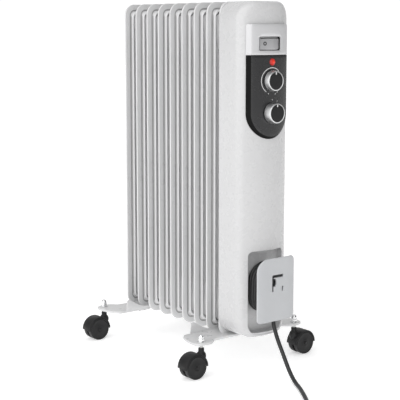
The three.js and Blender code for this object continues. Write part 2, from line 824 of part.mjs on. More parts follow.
const MIDDLE = (FRONT_STEM_Y + REAR_STEM_Y) / 2;
const turnRound = (solid) => solid.rotate([0, 0, 180]).translate([0, 2 * MIDDLE, 0]);
const betweenFins = (number) => finFace(number) - (FIN_PITCH - FIN_SHEET) / 2;
const ENDS = [
  {
    end: "front",
    stemY: FRONT_STEM_Y,
    bracket: bracket(betweenFins(8), finFace(9)),
    boltY: betweenFins(8),
  },
  {
    end: "rear",
    stemY: REAR_STEM_Y,
    bracket: turnRound(
      bracket(2 * MIDDLE - betweenFins(1), 2 * MIDDLE - finFace(2) - FIN_SHEET),
    ),
    boltY: betweenFins(1),
  },
];
const SIDES = [["left", -1], ["right", 1]];
for (const { end, bracket: foot, boltY } of ENDS) {
  put(`foot_bracket_${end}`, "white_paint", foot);
  put(`u_bolt_${end}`, "zinc", uBolt().translate([0, boltY, 0]));
  for (const [side, sign] of SIDES) {
    const nut = wingNut().translate([sign * BOLT_REACH, boltY, 0]);
    put(`wing_nut_${end}_${side}`, "zinc", nut);
  }
}

// ---- casters ----
function casterStem() {
  return lathe(
    [
      [0, 36],
      [STEM_RADIUS, 36],
      [STEM_RADIUS, 56],
      [4.2, 56],
      [4.2, BRACKET_TOP - BRACKET_SHEET - GAP],
      [STEM_RADIUS, BRACKET_TOP - BRACKET_SHEET - GAP],
      [STEM_RADIUS, 68.6],
      [0, 68.6],
    ],
    8,
  );
}

function capNut() {
  const low = BRACKET_TOP + GAP;
  const flange = bar(7, 6.4, low, low + 1.4, 12);
  const hex = bar(5.8, 5.8, low + 1, low + 6, 6);
  const dome = lathe(
    [[0, low + 5], [4.8, low + 5], [4.8, low + 9], [3.2, low + 12.2], [0, low + 13.2]],
    12,
  );
  return join(flange, hex, dome).subtract(bar(3.5, 3.5, low - 1, low + 9, 8));
}

// The wheel axle is along Y, CASTER_TRAIL from the swivel axis on the +X side.
function casterHood() {
  const half = [];
  for (let i = 0; i <= 8; i++) {
    const turn = (Math.PI * i) / 8;
    half.push([HOOD_RADIUS * Math.cos(turn), HOOD_RADIUS * Math.sin(turn)]);
  }
  const under = [];
  for (let i = 8; i >= 0; i--) {
    const turn = (Math.PI * i) / 8;
    const inner = HOOD_RADIUS - 2.2;
    under.push([inner * Math.cos(turn), inner * Math.sin(turn)]);
  }
  const fender = plateXZ([...half, ...under], [-HOOD_HALF_WIDTH, HOOD_HALF_WIDTH]);
  const web = plateXZ([...half, [-16, -6], [-6, -9], [6, -9], [16, -6]], [-HOOD_WEB, HOOD_WEB]);
  const axle = alongY(bar(3, 3, -HOOD_HALF_WIDTH + 0.4, HOOD_HALF_WIDTH - 0.4, 8));
  const body = join(fender, web, axle).translate([CASTER_TRAIL, 0, WHEEL_RADIUS]);
  const neck = lathe(
    [
      [0, 22],
      [4.2, 22],
      [8.5, 33],
      [7.5, 40],
      [COLLAR_RADIUS, 43.5],
      [COLLAR_RADIUS, COLLAR_TOP],
      [0, COLLAR_TOP],
    ],
    10,
  );
  const wheelRoom = (side) => {
    const radius = HOOD_RADIUS - 2.2;
    const room = alongY(bar(radius, radius, HOOD_WEB, HOOD_HALF_WIDTH + 1, 16));
    const turned = side > 0 ? room : room.rotate([0, 0, 180]);
    return turned.translate([CASTER_TRAIL, 0, WHEEL_RADIUS]);
  };
  const shaped = neck.subtract(wheelRoom(1)).subtract(wheelRoom(-1));
  return join(body, shaped).subtract(bar(3.4, 3.4, 35.6, 60, 8));
}

function casterWheel(side) {
  const inner = HOOD_WEB + GAP;
  const outer = inner + WHEEL_WIDTH;
  const profile = [
    [3.4, inner],
    [WHEEL_RADIUS, inner],
    [WHEEL_RADIUS, outer - 1.6],
    [WHEEL_RADIUS - 1.6, outer],
    [3.4, outer],
    [3.4, inner],
  ];
  const wheel = alongY(lathe(profile, 24));
  const placed = side < 0 ? wheel : wheel.rotate([0, 0, 180]);
  return placed.translate([CASTER_TRAIL, 0, WHEEL_RADIUS]);
}

for (const { end, stemY } of ENDS) {
  for (const [side, sign] of SIDES) {
    const corner = `${end}_${side}`;
    const place = (solid) => {
      const turned = sign > 0 ? solid : solid.rotate([0, 0, 180]);
      return turned.translate([sign * STEM_X, stemY, 0]);
    };
    put(`cap_nut_${corner}`, "chrome", place(capNut()));
    put(`caster_stem_${corner}`, "zinc", place(casterStem()));
    put(`caster_hood_${corner}`, "black_matt", place(casterHood()));
    put(`caster_wheel_${corner}_front`, "black_matt", place(casterWheel(-sign)));
    put(`caster_wheel_${corner}_rear`, "black_matt", place(casterWheel(sign)));
  }
}

export default heater;
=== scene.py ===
import json
import math

import bpy
import bmesh
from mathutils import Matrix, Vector, geometry


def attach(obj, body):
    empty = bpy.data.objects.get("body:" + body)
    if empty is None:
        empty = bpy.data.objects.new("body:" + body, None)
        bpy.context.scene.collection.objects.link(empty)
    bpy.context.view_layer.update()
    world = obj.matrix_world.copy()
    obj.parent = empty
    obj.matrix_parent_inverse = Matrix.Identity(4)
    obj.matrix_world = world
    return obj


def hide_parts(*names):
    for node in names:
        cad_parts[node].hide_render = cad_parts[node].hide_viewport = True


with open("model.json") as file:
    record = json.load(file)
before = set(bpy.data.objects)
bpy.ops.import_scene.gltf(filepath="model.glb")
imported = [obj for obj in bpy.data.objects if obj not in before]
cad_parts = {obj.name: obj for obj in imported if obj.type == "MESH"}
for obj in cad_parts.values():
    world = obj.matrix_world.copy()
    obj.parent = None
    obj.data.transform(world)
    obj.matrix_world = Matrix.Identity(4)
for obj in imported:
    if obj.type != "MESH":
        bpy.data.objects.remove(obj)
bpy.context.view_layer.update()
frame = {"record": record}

# Shapes are drawn in millimetres in the CAD's own layout: X is the width, Y is measured from the
# front face of the ninth fin (the control face looks towards -Y), and Z is up from the floor.
ORIGIN_Y = -102.65


def at(point):
    return Vector((point[0] / 1000, (point[1] + ORIGIN_Y) / 1000, point[2] / 1000))


# ---------------------------------------------------------------- camera
scene = bpy.context.scene
camera_data = bpy.data.cameras.new("camera")
camera_data.lens = 98.25
camera_data.sensor_width = 36
camera_data.shift_y = -0.0415
camera_data.clip_end = 50
camera = bpy.data.objects.new("camera", camera_data)
scene.collection.objects.link(camera)
scene.camera = camera
camera.location = at((-1201.2, -1438.2, 582.7))
camera.rotation_euler = Vector((0.60421, 0.78458, -0.13917)).to_track_quat("-Z", "Y").to_euler()


# ---------------------------------------------------------------- driving dimensions, as in the CAD
FIN_COUNT = 9
FIN_PITCH = 35.4
FIN_HALF_WIDTH = 52
FIN_BOTTOM = 55
FIN_TOP = 630
FIN_CORNER = 20
FIN_SHEET = 1.4
HUB_HEIGHTS = (105, 580)

COVER_HALF_WIDTH = 54
COVER_SIDE_FRONT = -51.4
COVER_BOW = 94
COVER_BOTTOM = 62.3
COVER_TOP = 630
COVER_CORNER = 30
COVER_EDGE = 9

PANEL_HALF_WIDTH = 39.6
PANEL_DRAFT = 4.2
PANEL_TOP = 592.7
PANEL_SPLIT = 541.5
PANEL_STAND = 5.9

SWITCH_X = -3
SWITCH_Z = 560.5
LAMP_Z = 530.4
THERMOSTAT_Z = 499.4
SELECTOR_Z = 446.1
KNOB_RADIUS = 17.6

RECESS_HALF_WIDTH = 37
RECESS_TOP = 212
RECESS_BOTTOM = 68.5
RECESS_FLOOR = -49
WRAP_Z = 148
WRAP_STRAIGHT = 24
CORD_BEND = 28.5
CORD_RADIUS = 3.5
WINDING_BACK = -53.1
TURN_PITCH = 7.2

STEM_X = 106
FRONT_STEM_Y = -19.4
REAR_STEM_Y = 284.3
BRACKET_TOP = 60
CASTER_TRAIL = 17.5
WHEEL_RADIUS = 20


def front_y(x, stand=0.0):
    """Y of the bowed front of the cover, or of a surface that stands proud of it."""
    side = math.sqrt(COVER_BOW**2 - COVER_HALF_WIDTH**2)
    return COVER_SIDE_FRONT + side - math.sqrt((COVER_BOW + stand) ** 2 - x * x)


def fin_face(number):
    return (FIN_COUNT - number) * FIN_PITCH


# ---------------------------------------------------------------- mesh code
class Shape:
    """Vertices in millimetres and faces, gathered from several lofts into one piece."""

    def __init__(self):
        self.points = []
        self.faces = []

    def add(self, points, faces):
        base = len(self.points)
        self.points += [tuple(p) for p in points]
        self.faces += [tuple(base + i for i in f) for f in faces]
        return base

    def loft(self, rings, close=True, start=True, end=True):
        """Skins rings of equal length. close joins each ring's last point to its first."""
        n = len(rings[0])
        base = self.add([p for ring in rings for p in ring], [])
        for k in range(len(rings) - 1):
            for i in range(n if close else n - 1):
                j = (i + 1) % n
                a, b = base + k * n, base + (k + 1) * n
                self.faces.append((a + i, a + j, b + j, b + i))
        if start:
            self.faces.append(tuple(base + i for i in range(n))[::-1])
        if end:
            last = base + (len(rings) - 1) * n
            self.faces.append(tuple(last + i for i in range(n)))

    def fill(self, outer, holes, inner, place):
        """Fills a flat outline with holes by triangles. inner are points to go in between, and
        place(u, v) maps the flat points to the layout."""
        loops = [outer, *holes]
        flat = [Vector(p) for loop in loops for p in loop]
        edges = []
        base = 0
        for loop in loops:
            n = len(loop)
            edges += [(base + i, base + (i + 1) % n) for i in range(n)]
            base += n
        flat += [Vector(p) for p in inner]
        made = geometry.delaunay_2d_cdt(flat, edges, [], 0, 1e-6)
        faces = []
        for face in made[2]:
            middle = sum((made[0][i] for i in face), Vector((0, 0))) / len(face)
            if inside(middle, outer) and not any(inside(middle, hole) for hole in holes):
                faces.append(tuple(face))
        self.add([place(p.x, p.y) for p in made[0]], faces)

    def lathe(self, profile, segments, place):
        """Turns [radius, height] pairs about an axis. place(x, y, h) maps to the layout."""
        rings = []
        for r, h in profile:
            ring = []
            for i in range(segments):
                t = 2 * math.pi * i / segments
                ring.append(place(r * math.cos(t), r * math.sin(t), h))
            rings.append(ring)
        self.loft(rings, start=profile[0][0] > 0, end=profile[-1][0] > 0)

    def tube(self, line, radius, sides):
        """A round tube along points."""
        line = [Vector(p) for p in line]
        normal = (line[1] - line[0]).orthogonal().normalized()
        rings = []
        for i, p in enumerate(line):
            ahead = line[min(i + 1, len(line) - 1)] - line[max(i - 1, 0)]
            ahead.normalize()
            normal = (normal - ahead * normal.dot(ahead)).normalized()
            side = ahead.cross(normal)
            ring = []
            for k in range(sides):
                t = 2 * math.pi * k / sides
                ring.append(p + (normal * math.cos(t) + side * math.sin(t)) * radius)
            rings.append(ring)
        self.loft(rings)


def inside(point, loop):
    x, z = point
    found = False
    j = len(loop) - 1
    for i in range(len(loop)):
        xi, zi = loop[i]
        xj, zj = loop[j]
        if (zi > z) != (zj > z) and x < (xj - xi) * (z - zi) / (zj - zi) + xi:
            found = not found
        j = i
    return found


def distance(point, loop):
    p = Vector(point)
    best = 1e9
    for i in range(len(loop)):
        a = Vector(loop[i])
        b = Vector(loop[(i + 1) % len(loop)])
        d = b - a
        t = 0 if d.length_squared == 0 else max(0, min(1, (p - a).dot(d) / d.length_squared))
        best = min(best, (a + d * t - p).length)
    return best


def arc(x, z, radius, start, end, segments):
    points = []
    for i in range(segments + 1):
        t = math.radians(start + (end - start) * i / segments)
        points.append((x + radius * math.cos(t), z + radius * math.sin(t)))
    return points


def rounded(half_width, bottom, top, radius, segments, low_radius=None, x=0.0):
    """A rounded rectangle about X, counter-clockwise."""
    low = radius if low_radius is None else low_radius
    right, left = x + half_width, x - half_width
    return [
        *arc(right - low, bottom + low, low, -90, 0, segments),
        *arc(right - radius, top - radius, radius, 0, 90, segments),
        *arc(left + radius, top - radius, radius, 90, 180, segments),
        *arc(left + low, bottom + low, low, 180, 270, segments),
    ]


def dense(loop, step):
    """The loop with points added on its long straight stretches."""
    points = []
    for a, b in zip(loop, loop[1:] + loop[:1]):
        n = max(1, round(math.dist(a, b) / step))
        points += [(a[0] + (b[0] - a[0]) * i / n, a[1] + (b[1] - a[1]) * i / n) for i in range(n)]
    return points


def inset(loop, by):
    """The counter-clockwise loop moved inwards by a distance."""
    moved = []
    for i, p in enumerate(loop):
        a = (Vector(p) - Vector(loop[i - 1])).normalized()
        b = (Vector(loop[(i + 1) % len(loop)]) - Vector(p)).normalized()
        inward = Vector((-a.y - b.y, a.x + b.x)).normalized()
        scale = by / max(inward.dot(Vector((-a.y, a.x))), 0.5)
        moved.append((p[0] + inward.x * scale, p[1] + inward.y * scale))
    return moved


def grid(loop, holes, step_u, step_v):
    """Points in rows and columns inside a loop, clear of its edge and of the holes."""
    us = [p[0] for p in loop]
    vs = [p[1] for p in loop]
    columns = max(2, round((max(us) - min(us)) / step_u))
    rows = max(2, round((max(vs) - min(vs)) / step_v))
    points = []
    for i in range(1, columns):
        for j in range(1, rows):
            p = (
                min(us) + (max(us) - min(us)) * i / columns,
                min(vs) + (max(vs) - min(vs)) * j / rows,
            )
            if not inside(p, loop) or any(inside(p, hole) for hole in holes):
                continue
            if all(distance(p, each) > 0.4 * min(step_u, step_v) for each in (loop, *holes)):
                points.append(p)
    return points


def rise(x, low, high):
    """0 below low, 1 above high, and a smooth step between."""
    t = max(0, min(1, (x - low) / (high - low)))
    return t * t * (3 - 2 * t)


def piece(name, shape, material, body, replaced=(), sharp=32):
    """Makes a piece from a Shape, smooth with sharp edges over an angle, riding on a body."""
    mesh = bpy.data.meshes.new(name)
    mesh.from_pydata([at(p) for p in shape.points], [], shape.faces)
    built = bmesh.new()
    built.from_mesh(mesh)
    bmesh.ops.remove_doubles(built, verts=built.verts, dist=1e-6)
    bmesh.ops.recalc_face_normals(built, faces=built.faces)
    built.to_mesh(mesh)
    built.free()
    mesh.shade_smooth()
    mesh.set_sharp_from_angle(angle=math.radians(sharp))
    mesh.materials.append(material)
    thing = bpy.data.objects.new(name, mesh)
    scene.collection.objects.link(thing)
    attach(thing, body)
    if replaced:
        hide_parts(*replaced)
    return thing


# ---------------------------------------------------------------- materials
def new_material(name):
    material = bpy.data.materials.new(name)
    material.use_nodes = True
    nodes = material.node_tree.nodes
    return material, nodes, material.node_tree.links, nodes["Principled BSDF"]


def noise(nodes, links, scale, detail=3.0, rough=0.55, stretch=None):
    """A noise texture in object space, in cycles per metre. stretch scales the axes."""
    where = nodes.new("ShaderNodeTexCoord")
    texture = nodes.new("ShaderNodeTexNoise")
    texture.inputs["Scale"].default_value = scale
    texture.inputs["Detail"].default_value = detail
    texture.inputs["Roughness"].default_value = rough
    if stretch:
        mapping = nodes.new("ShaderNodeMapping")
        mapping.inputs["Scale"].default_value = stretch
        links.new(where.outputs["Object"], mapping.inputs["Vector"])
        links.new(mapping.outputs["Vector"], texture.inputs["Vector"])
    else:
        links.new(where.outputs["Object"], texture.inputs["Vector"])
    return texture.outputs["Fac"]


def spread(nodes, links, value, low, high):
    """Maps a noise value to a range."""
    node = nodes.new("ShaderNodeMapRange")
    node.inputs["From Min"].default_value = 0.3
    node.inputs["From Max"].default_value = 0.7
    node.inputs["To Min"].default_value = low
    node.inputs["To Max"].default_value = high
    links.new(value, node.inputs["Value"])
    return node.outputs["Result"]


def tint(nodes, links, value, first, second):
    ramp = nodes.new("ShaderNodeValToRGB")
    ramp.color_ramp.elements[0].position = 0.3
    ramp.color_ramp.elements[0].color = (*first, 1)
    ramp.color_ramp.elements[1].position = 0.7
    ramp.color_ramp.elements[1].color = (*second, 1)
    links.new(value, ramp.inputs["Fac"])
    return ramp.outputs["Color"]


def bumps(nodes, links, parts, shader):
    """Chains bump nodes, each from (height, distance in metres, strength), into the shader."""
    last = None
    for height, reach, strength in parts:
        node = nodes.new("ShaderNodeBump")
        node.inputs["Distance"].default_value = reach
        node.inputs["Strength"].default_value = strength
        links.new(height, node.inputs["Height"])
        if last is not None:
            links.new(last, node.inputs["Normal"])
        last = node.outputs["Normal"]
    links.new(last, shader.inputs["Normal"])


def grey(level, blue=0.0):
    return (level, level, level + blue)


def finish(
    name,
    dark,
    light,
    rough,
    metal=0.0,
    grain=900.0,
    grain_depth=0.00003,
    grain_strength=0.35,
    wave=None,
    coat=0.0,
    coat_rough=0.08,
    stretch=None,
    specular=0.5,
):
    """A material with a slow colour drift, roughness variation and a fine surface texture."""
    material, nodes, links, shader = new_material(name)
    drift = noise(nodes, links, 14.0)
    fine = noise(nodes, links, grain, 2.0, 0.5, stretch)
    smudge = noise(nodes, links, 55.0, 4.0, 0.6)
    links.new(tint(nodes, links, drift, dark, light), shader.inputs["Base Color"])
    links.new(spread(nodes, links, smudge, *rough), shader.inputs["Roughness"])
    shader.inputs["Metallic"].default_value = metal
    shader.inputs["Specular IOR Level"].default_value = specular
    shader.inputs["Coat Weight"].default_value = coat
    shader.inputs["Coat Roughness"].default_value = coat_rough
    parts = [(fine, grain_depth, grain_strength)]
    if wave:
        parts.append((noise(nodes, links, wave[0], 1.0, 0.4), wave[1], wave[2]))
    bumps(nodes, links, parts, shader)
    return material


# Where the fins' painted shade line lies along the groove by the rim, its width and how dark it is.
SEAM_DEPTH = 0.0114
SEAM_HALF_WIDTH = 0.0017
SEAM_SHADE = 0.5


def paint_seam_shade(material):
    """Paints shade into the narrow groove between a fin's folded rim and its channel, by darkening the
    colour there.
    """
    nodes, links = material.node_tree.nodes, material.node_tree.links
    where = nodes.new("ShaderNodeTexCoord")
    split = nodes.new("ShaderNodeSeparateXYZ")
    links.new(where.outputs["Object"], split.inputs["Vector"])

    def math_node(operation, *values):
        node = nodes.new("ShaderNodeMath")
        node.operation = operation
        for socket, value in zip(node.inputs, values):
            if isinstance(value, float):
                socket.default_value = value
            else:
                links.new(value, socket)
        return node.outputs["Value"]

    def past(axis, middle, reach):
        centred = math_node("SUBTRACT", split.outputs[axis], middle)
        return math_node("SUBTRACT", math_node("ABSOLUTE", centred), reach)

    corner = FIN_CORNER / 1000
    across = past("X", 0.0, FIN_HALF_WIDTH / 1000 - corner)
    up = past("Z", (FIN_TOP + FIN_BOTTOM) / 2000, (FIN_TOP - FIN_BOTTOM) / 2000 - corner)
    squares = [
        math_node("MULTIPLY", math_node("MAXIMUM", q, 0.0), math_node("MAXIMUM", q, 0.0))
        for q in (across, up)
    ]
    outside = math_node("SQRT", math_node("ADD", *squares))
    within = math_node("MINIMUM", math_node("MAXIMUM", across, up), 0.0)
    depth = math_node("SUBTRACT", corner, math_node("ADD", outside, within))
    from_seam = math_node("ABSOLUTE", math_node("SUBTRACT", depth, SEAM_DEPTH))
    groove = nodes.new("ShaderNodeMapRange")
    groove.inputs["From Min"].default_value = SEAM_HALF_WIDTH * 0.55
    groove.inputs["From Max"].default_value = SEAM_HALF_WIDTH
    groove.inputs["To Min"].default_value = SEAM_SHADE
    groove.inputs["To Max"].default_value = 1.0
    links.new(from_seam, groove.inputs["Value"])
    shader = nodes["Principled BSDF"]
    colour = shader.inputs["Base Color"].links[0].from_socket
    shaded = nodes.new("ShaderNodeVectorMath")
    shaded.operation = "SCALE"
    links.new(colour, shaded.inputs[0])
    links.new(groove.outputs["Result"], shaded.inputs["Scale"])
    links.new(shaded.outputs["Vector"], shader.inputs["Base Color"])


WHITE_PAINT = finish(
    "white_enamel",
    grey(0.66, 0.005),
    grey(0.69, 0.005),
    (0.26, 0.34),
    grain=650.0,
    grain_depth=0.00004,
    grain_strength=0.25,
    wave=(110.0, 0.00012, 0.12),
    coat=0.35,
    coat_rough=0.12,
)
# The fins' white is a little lighter than the brackets' white: painted light on the fins.
FIN_PAINT = finish(
    "white_fin_enamel_painted_lighter",
    grey(0.69, 0.005),
    grey(0.72, 0.005),
    (0.26, 0.34),
    grain=650.0,
    grain_depth=0.00004,
    grain_strength=0.25,
    wave=(110.0, 0.00012, 0.12),
    coat=0.35,
    coat_rough=0.12,
)
# The fins' colour gets a painted shade line in the groove by the rim.
paint_seam_shade(FIN_PAINT)
# The cover's white is darker than the other whites: painted shade on the cover.
COVER_PAINT = finish(
    "white_cover_enamel_painted_darker",
    grey(0.592, 0.005),
    grey(0.602, 0.005),
    (0.265, 0.285),
    grain=650.0,
    grain_depth=0.00002,
    grain_strength=0.1,
    wave=(90.0, 0.00006, 0.03),
    coat=0.4,
    coat_rough=0.1,
)
BLACK_GLOSS = finish(
    "black_gloss_plastic",
    grey(0.020, 0.001),
    grey(0.026, 0.001),
    (0.24, 0.29),
    grain=1500.0,
    grain_depth=0.00001,
    grain_strength=0.1,
    wave=(60.0, 0.0001, 0.04),
)
BLACK_MATT = finish(
    "black_satin_plastic",
    grey(0.008, 0.0005),
    grey(0.013, 0.0005),
    (0.42, 0.52),
    grain=2600.0,
    grain_depth=0.00002,
    grain_strength=0.4,
    specular=0.35,
)
# A near-black with little shine, used as painted shade on faces that lie in shadow.
SHADE_BLACK = finish(
    "black_painted_shade",
    grey(0.005),
    grey(0.008),
    (0.55, 0.65),
    grain=2600.0,
    grain_depth=0.00002,
    grain_strength=0.4,
    specular=0.1,
)
GREY_PLASTIC = finish(
    "light_grey_plastic",
    (0.50, 0.51, 0.525),
    (0.54, 0.55, 0.565),
    (0.34, 0.42),
    grain=2400.0,
    grain_depth=0.00002,
    grain_strength=0.4,
)
LABEL_SILVER = finish(
    "silver_panel",
    grey(0.63, 0.01),
    grey(0.655, 0.01),
    (0.29, 0.33),
    metal=0.3,
    grain=2600.0,
    grain_depth=0.00001,
    grain_strength=0.1,
)
ROCKER_SILVER = finish(
    "silver_rocker",
    grey(0.41, 0.01),
    grey(0.44, 0.01),
    (0.32, 0.38),
    metal=0.3,
    grain=2600.0,
    grain_depth=0.00001,
    grain_strength=0.15,
)
KNOB_METAL = finish(
    "brushed_knob_metal",
    (0.74, 0.745, 0.75),
    (0.80, 0.805, 0.81),
    (0.30, 0.36),
    metal=1.0,
    grain=900.0,
    grain_depth=0.00001,
    grain_strength=0.12,
    stretch=(1, 0.06, 1),
)
CHROME = finish(
    "chrome_plate",
    (0.78, 0.785, 0.79),
    (0.84, 0.845, 0.85),
    (0.06, 0.13),
    metal=1.0,
    grain=900.0,
    grain_depth=0.00001,
    grain_strength=0.15,
)
ZINC = finish(
    "zinc_plate",
    (0.46, 0.47, 0.48),
    grey(0.58, -0.01),
    (0.28, 0.44),
    metal=1.0,
    grain=1600.0,
    grain_depth=0.00003,
    grain_strength=0.4,
)
RUBBER = finish(
    "black_cord_sheath",
    grey(0.013, 0.001),
    grey(0.020, 0.001),
    (0.42, 0.55),
    grain=2200.0,
    grain_depth=0.00003,
    grain_strength=0.5,
)
PRINT = finish(
    "white_print",
    grey(0.72),
    grey(0.80),
    (0.40, 0.50),
    grain=3000.0,
    grain_depth=0.000005,
    grain_strength=0.3,
)
PRINT_DARK = finish(
    "dark_print",
    grey(0.03),
    grey(0.05),
    (0.40, 0.50),
    grain=3000.0,
    grain_depth=0.000005,
    grain_strength=0.3,
)


def lens_material():
    """Clear red plastic over a lit neon: brightest in the middle of the lens, dark at its rim."""
    material, nodes, links, shader = new_material("red_lens")
    where = nodes.new("ShaderNodeTexCoord")
    across = nodes.new("ShaderNodeVectorMath")
    across.operation = "MULTIPLY"
    across.inputs[1].default_value = (1, 0, 1)
    links.new(where.outputs["Object"], across.inputs[0])
    offset = nodes.new("ShaderNodeVectorMath")
    offset.operation = "DISTANCE"
    offset.inputs[1].default_value = (0, 0, LAMP_Z / 1000)
    links.new(across.outputs["Vector"], offset.inputs[0])
    share = nodes.new("ShaderNodeMapRange")
    share.inputs["From Max"].default_value = 0.006
    links.new(offset.outputs["Value"], share.inputs["Value"])
    glow = nodes.new("ShaderNodeValToRGB")
    glow.color_ramp.elements[0].position = 0.05
    glow.color_ramp.elements[0].color = (1.0, 0.13, 0.06, 1)
    glow.color_ramp.elements[1].position = 0.95
    glow.color_ramp.elements[1].color = (0.05, 0.001, 0.001, 1)
    middle = glow.color_ramp.elements.new(0.5)
    middle.color = (0.55, 0.012, 0.006, 1)
    links.new(share.outputs["Result"], glow.inputs["Fac"])
    drift = noise(nodes, links, 400.0)
    links.new(
        tint(nodes, links, drift, (0.30, 0.008, 0.005), (0.42, 0.015, 0.008)),
        shader.inputs["Base Color"],
    )
    links.new(spread(nodes, links, drift, 0.10, 0.16), shader.inputs["Roughness"])
    shader.inputs["IOR"].default_value = 1.49
    links.new(glow.outputs["Color"], shader.inputs["Emission Color"])
    shader.inputs["Emission Strength"].default_value = 0.55
    bumps(nodes, links, [(noise(nodes, links, 900.0), 0.00004, 0.3)], shader)
    return material


RED_LENS = lens_material()


# ---------------------------------------------------------------- cord, wound and down to the floor
def wrap_point(turns):
    """A point of the winding. It starts at the bottom and runs clockwise, seen from the front."""
    quarter = math.pi * CORD_BEND / 2
    s = (turns % 1) * (4 * quarter + 2 * WRAP_STRAIGHT)
    y = WINDING_BACK - TURN_PITCH * turns
    low, high = WRAP_Z - WRAP_STRAIGHT / 2, WRAP_Z + WRAP_STRAIGHT / 2
    if s < quarter:
        t = -math.pi / 2 - s / CORD_BEND
        return (CORD_BEND * math.cos(t), y, low + CORD_BEND * math.sin(t))
    s -= quarter
    if s < WRAP_STRAIGHT:
        return (-CORD_BEND, y, low + s)
    s -= WRAP_STRAIGHT
    if s < 2 * quarter:
        t = math.pi - s / CORD_BEND
        return (CORD_BEND * math.cos(t), y, high + CORD_BEND * math.sin(t))
    s -= 2 * quarter
    if s < WRAP_STRAIGHT:
        return (CORD_BEND, y, high - s)
    s -= WRAP_STRAIGHT
    t = -s / CORD_BEND
    return (CORD_BEND * math.cos(t), y, low + CORD_BEND * math.sin(t))


CORD_EXIT = (36.5, -54.5, 107.5)
LEAD_IN = [CORD_EXIT, (28, -54.4, 107.5), (18, -54.1, 107.5), (9, -53.6, 107.5)]
TURNS = 3.68
WOUND_POINTS = 67
TAIL_POINTS = [
    (28.5, -80.9, 150), (28.4, -81.7, 137), (26.2, -82.1, 125.5), (20.8, -82.4, 116),
    (13.8, -82.4, 109.9), (6.8, -82.4, 103.9), (1.7, -82.9, 97), (-0.9, -84.6, 88.5),
    (-1.9, -90, 77), (-2.7, -98.5, 62), (-3.4, -109, 47), (-4.1, -119, 32.5), (-5.2, -129.5, 18.8),
    (-7.4, -141, 8.8), (-12.2, -154, 4.2), (-19.8, -169, 3.7), (-29, -185, 3.7),
    (-41.5, -205, 3.7), (-55.2, -225.5, 3.7), (-67.7, -241.3, 3.8), (-75.2, -251, 4.2),
    (-81.4, -259, 7), (-87.5, -267, 11.6), (-93.6, -274.8, 16.2), (-98.6, -281.3, 18.3),
    (-104.5, -289, 18.6),
]

wound = [wrap_point(TURNS * i / (WOUND_POINTS - 1)) for i in range(WOUND_POINTS)]
ROUTE = [*LEAD_IN, *wound, *TAIL_POINTS]


def cord_curve(name, points, radius):
    """A round curve of one open spline that runs smoothly through the points."""
    curve = bpy.data.curves.new(name, "CURVE")
    curve.dimensions = "3D"
    curve.bevel_depth = radius / 1000
    curve.bevel_resolution = 5
    curve.resolution_u = 6
    curve.use_fill_caps = True
    spline = curve.splines.new("BEZIER")
    spline.bezier_points.add(len(points) - 1)
    for knot, point in zip(spline.bezier_points, points):
        knot.co = at(point)
        knot.handle_left_type = "AUTO"
        knot.handle_right_type = "AUTO"
    thing = bpy.data.objects.new(name, curve)
    scene.collection.objects.link(thing)
    return thing


cord = cord_curve("power_cord", ROUTE, CORD_RADIUS)
cord.data.materials.append(RUBBER)
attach(cord, "heater")
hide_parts("cord_winding", "cord_tail")

# strain relief at the recess wall: a ribbed boot that tapers onto the cord
boot = Shape()
boot_profile = [(0, -1.5), (4.3, -1.5), (4.3, 1.8), (5.0, 2.0), (5.2, 2.6), (5.2, 4.4), (4.9, 5.0)]
h, r = 5.6, 4.75
while h < 22.5:
    boot_profile += [(r, h), (r, h + 1.5), (r - 0.42, h + 1.8), (r - 0.42, h + 2.5)]
    h += 2.8
    r -= 0.13
boot_profile += [(3.7, 24.0), (3.55, 24.4), (0, 24.4)]
boot.lathe(
    boot_profile,
    28,
    lambda a, b, c: (RECESS_HALF_WIDTH - c, CORD_EXIT[1] + a, CORD_EXIT[2] + b),
)
piece("cord_strain_relief", boot, RUBBER, "heater", ["cord_gland"])

# plug, lying on its side at the end of the cord
PLUG_START = Vector((-102.4, -286.3, 18.6))
PLUG_WAY = Vector((math.cos(math.radians(232.3)), math.sin(math.radians(232.3)), 0))
PLUG_SIDE = Vector((-PLUG_WAY.y, PLUG_WAY.x, 0))


def plug_place(a, b, c):
    p = PLUG_START + PLUG_WAY * c + PLUG_SIDE * a + Vector((0, 0, b))
    return (p.x, p.y, p.z)


plug = Shape()
plug_profile = [(0, 0), (4.1, 0), (4.3, 0.5)]
h, r = 1.5, 4.5
while h < 27:
    plug_profile += [(r, h), (r, h + 1.9), (r - 0.6, h + 2.3), (r - 0.6, h + 3.1)]
    h += 3.5
    r += 0.24
plug_profile += [
    (6.4, 29.5), (7.0, 32.0), (8.4, 35.0), (10.6, 38.5), (13.8, 42.0), (17.0, 44.6), (18.1, 46.0),
    (18.5, 47.6), (18.5, 60.6), (18.2, 61.5), (17.4, 62.0), (16.4, 62.0), (16.2, 61.4), (0, 61.4),
]
plug.lathe(plug_profile, 48, plug_place)
plug_body = piece("plug_body", plug, RUBBER, "heater", ["plug"])
pins = Shape()
for side in (-1, 1):
    pin = [(0, 60.5), (2.35, 60.5), (2.35, 78.6), (2.1, 79.5), (1.4, 80), (0, 80)]
    pins.lathe(pin, 20, lambda a, b, c, side=side: plug_place(a + side * 9.5, b, c))
plug_pins = piece("plug_pins", pins, ZINC, "heater")


# ---------------------------------------------------------------- fins
FIN_EDGE = [
    (0.1, 0.8), (0.5, 1.35), (1.2, 1.6), (2.4, 1.5), (9.2, 1.5), (9.9, 1.3), (10.2, 0.8),
    (10.6, 0.7), (11.2, 0.75),
]
FIN_BEAD = [
    (11.9, 1.0), (12.3, 2.4), (12.9, 4.6), (13.6, 6.2), (14.4, 6.8), (15.1, 6.8), (15.9, 6.2),
    (16.8, 4.8), (17.8, 2.6), (18.7, 1.1), (19.5, 0.7),
]


def fin_outline(by, segments=8):
    corner = max(FIN_CORNER - 0.6 * by, 4)
    return rounded(FIN_HALF_WIDTH - by, FIN_BOTTOM + by, FIN_TOP - by, corner, segments)


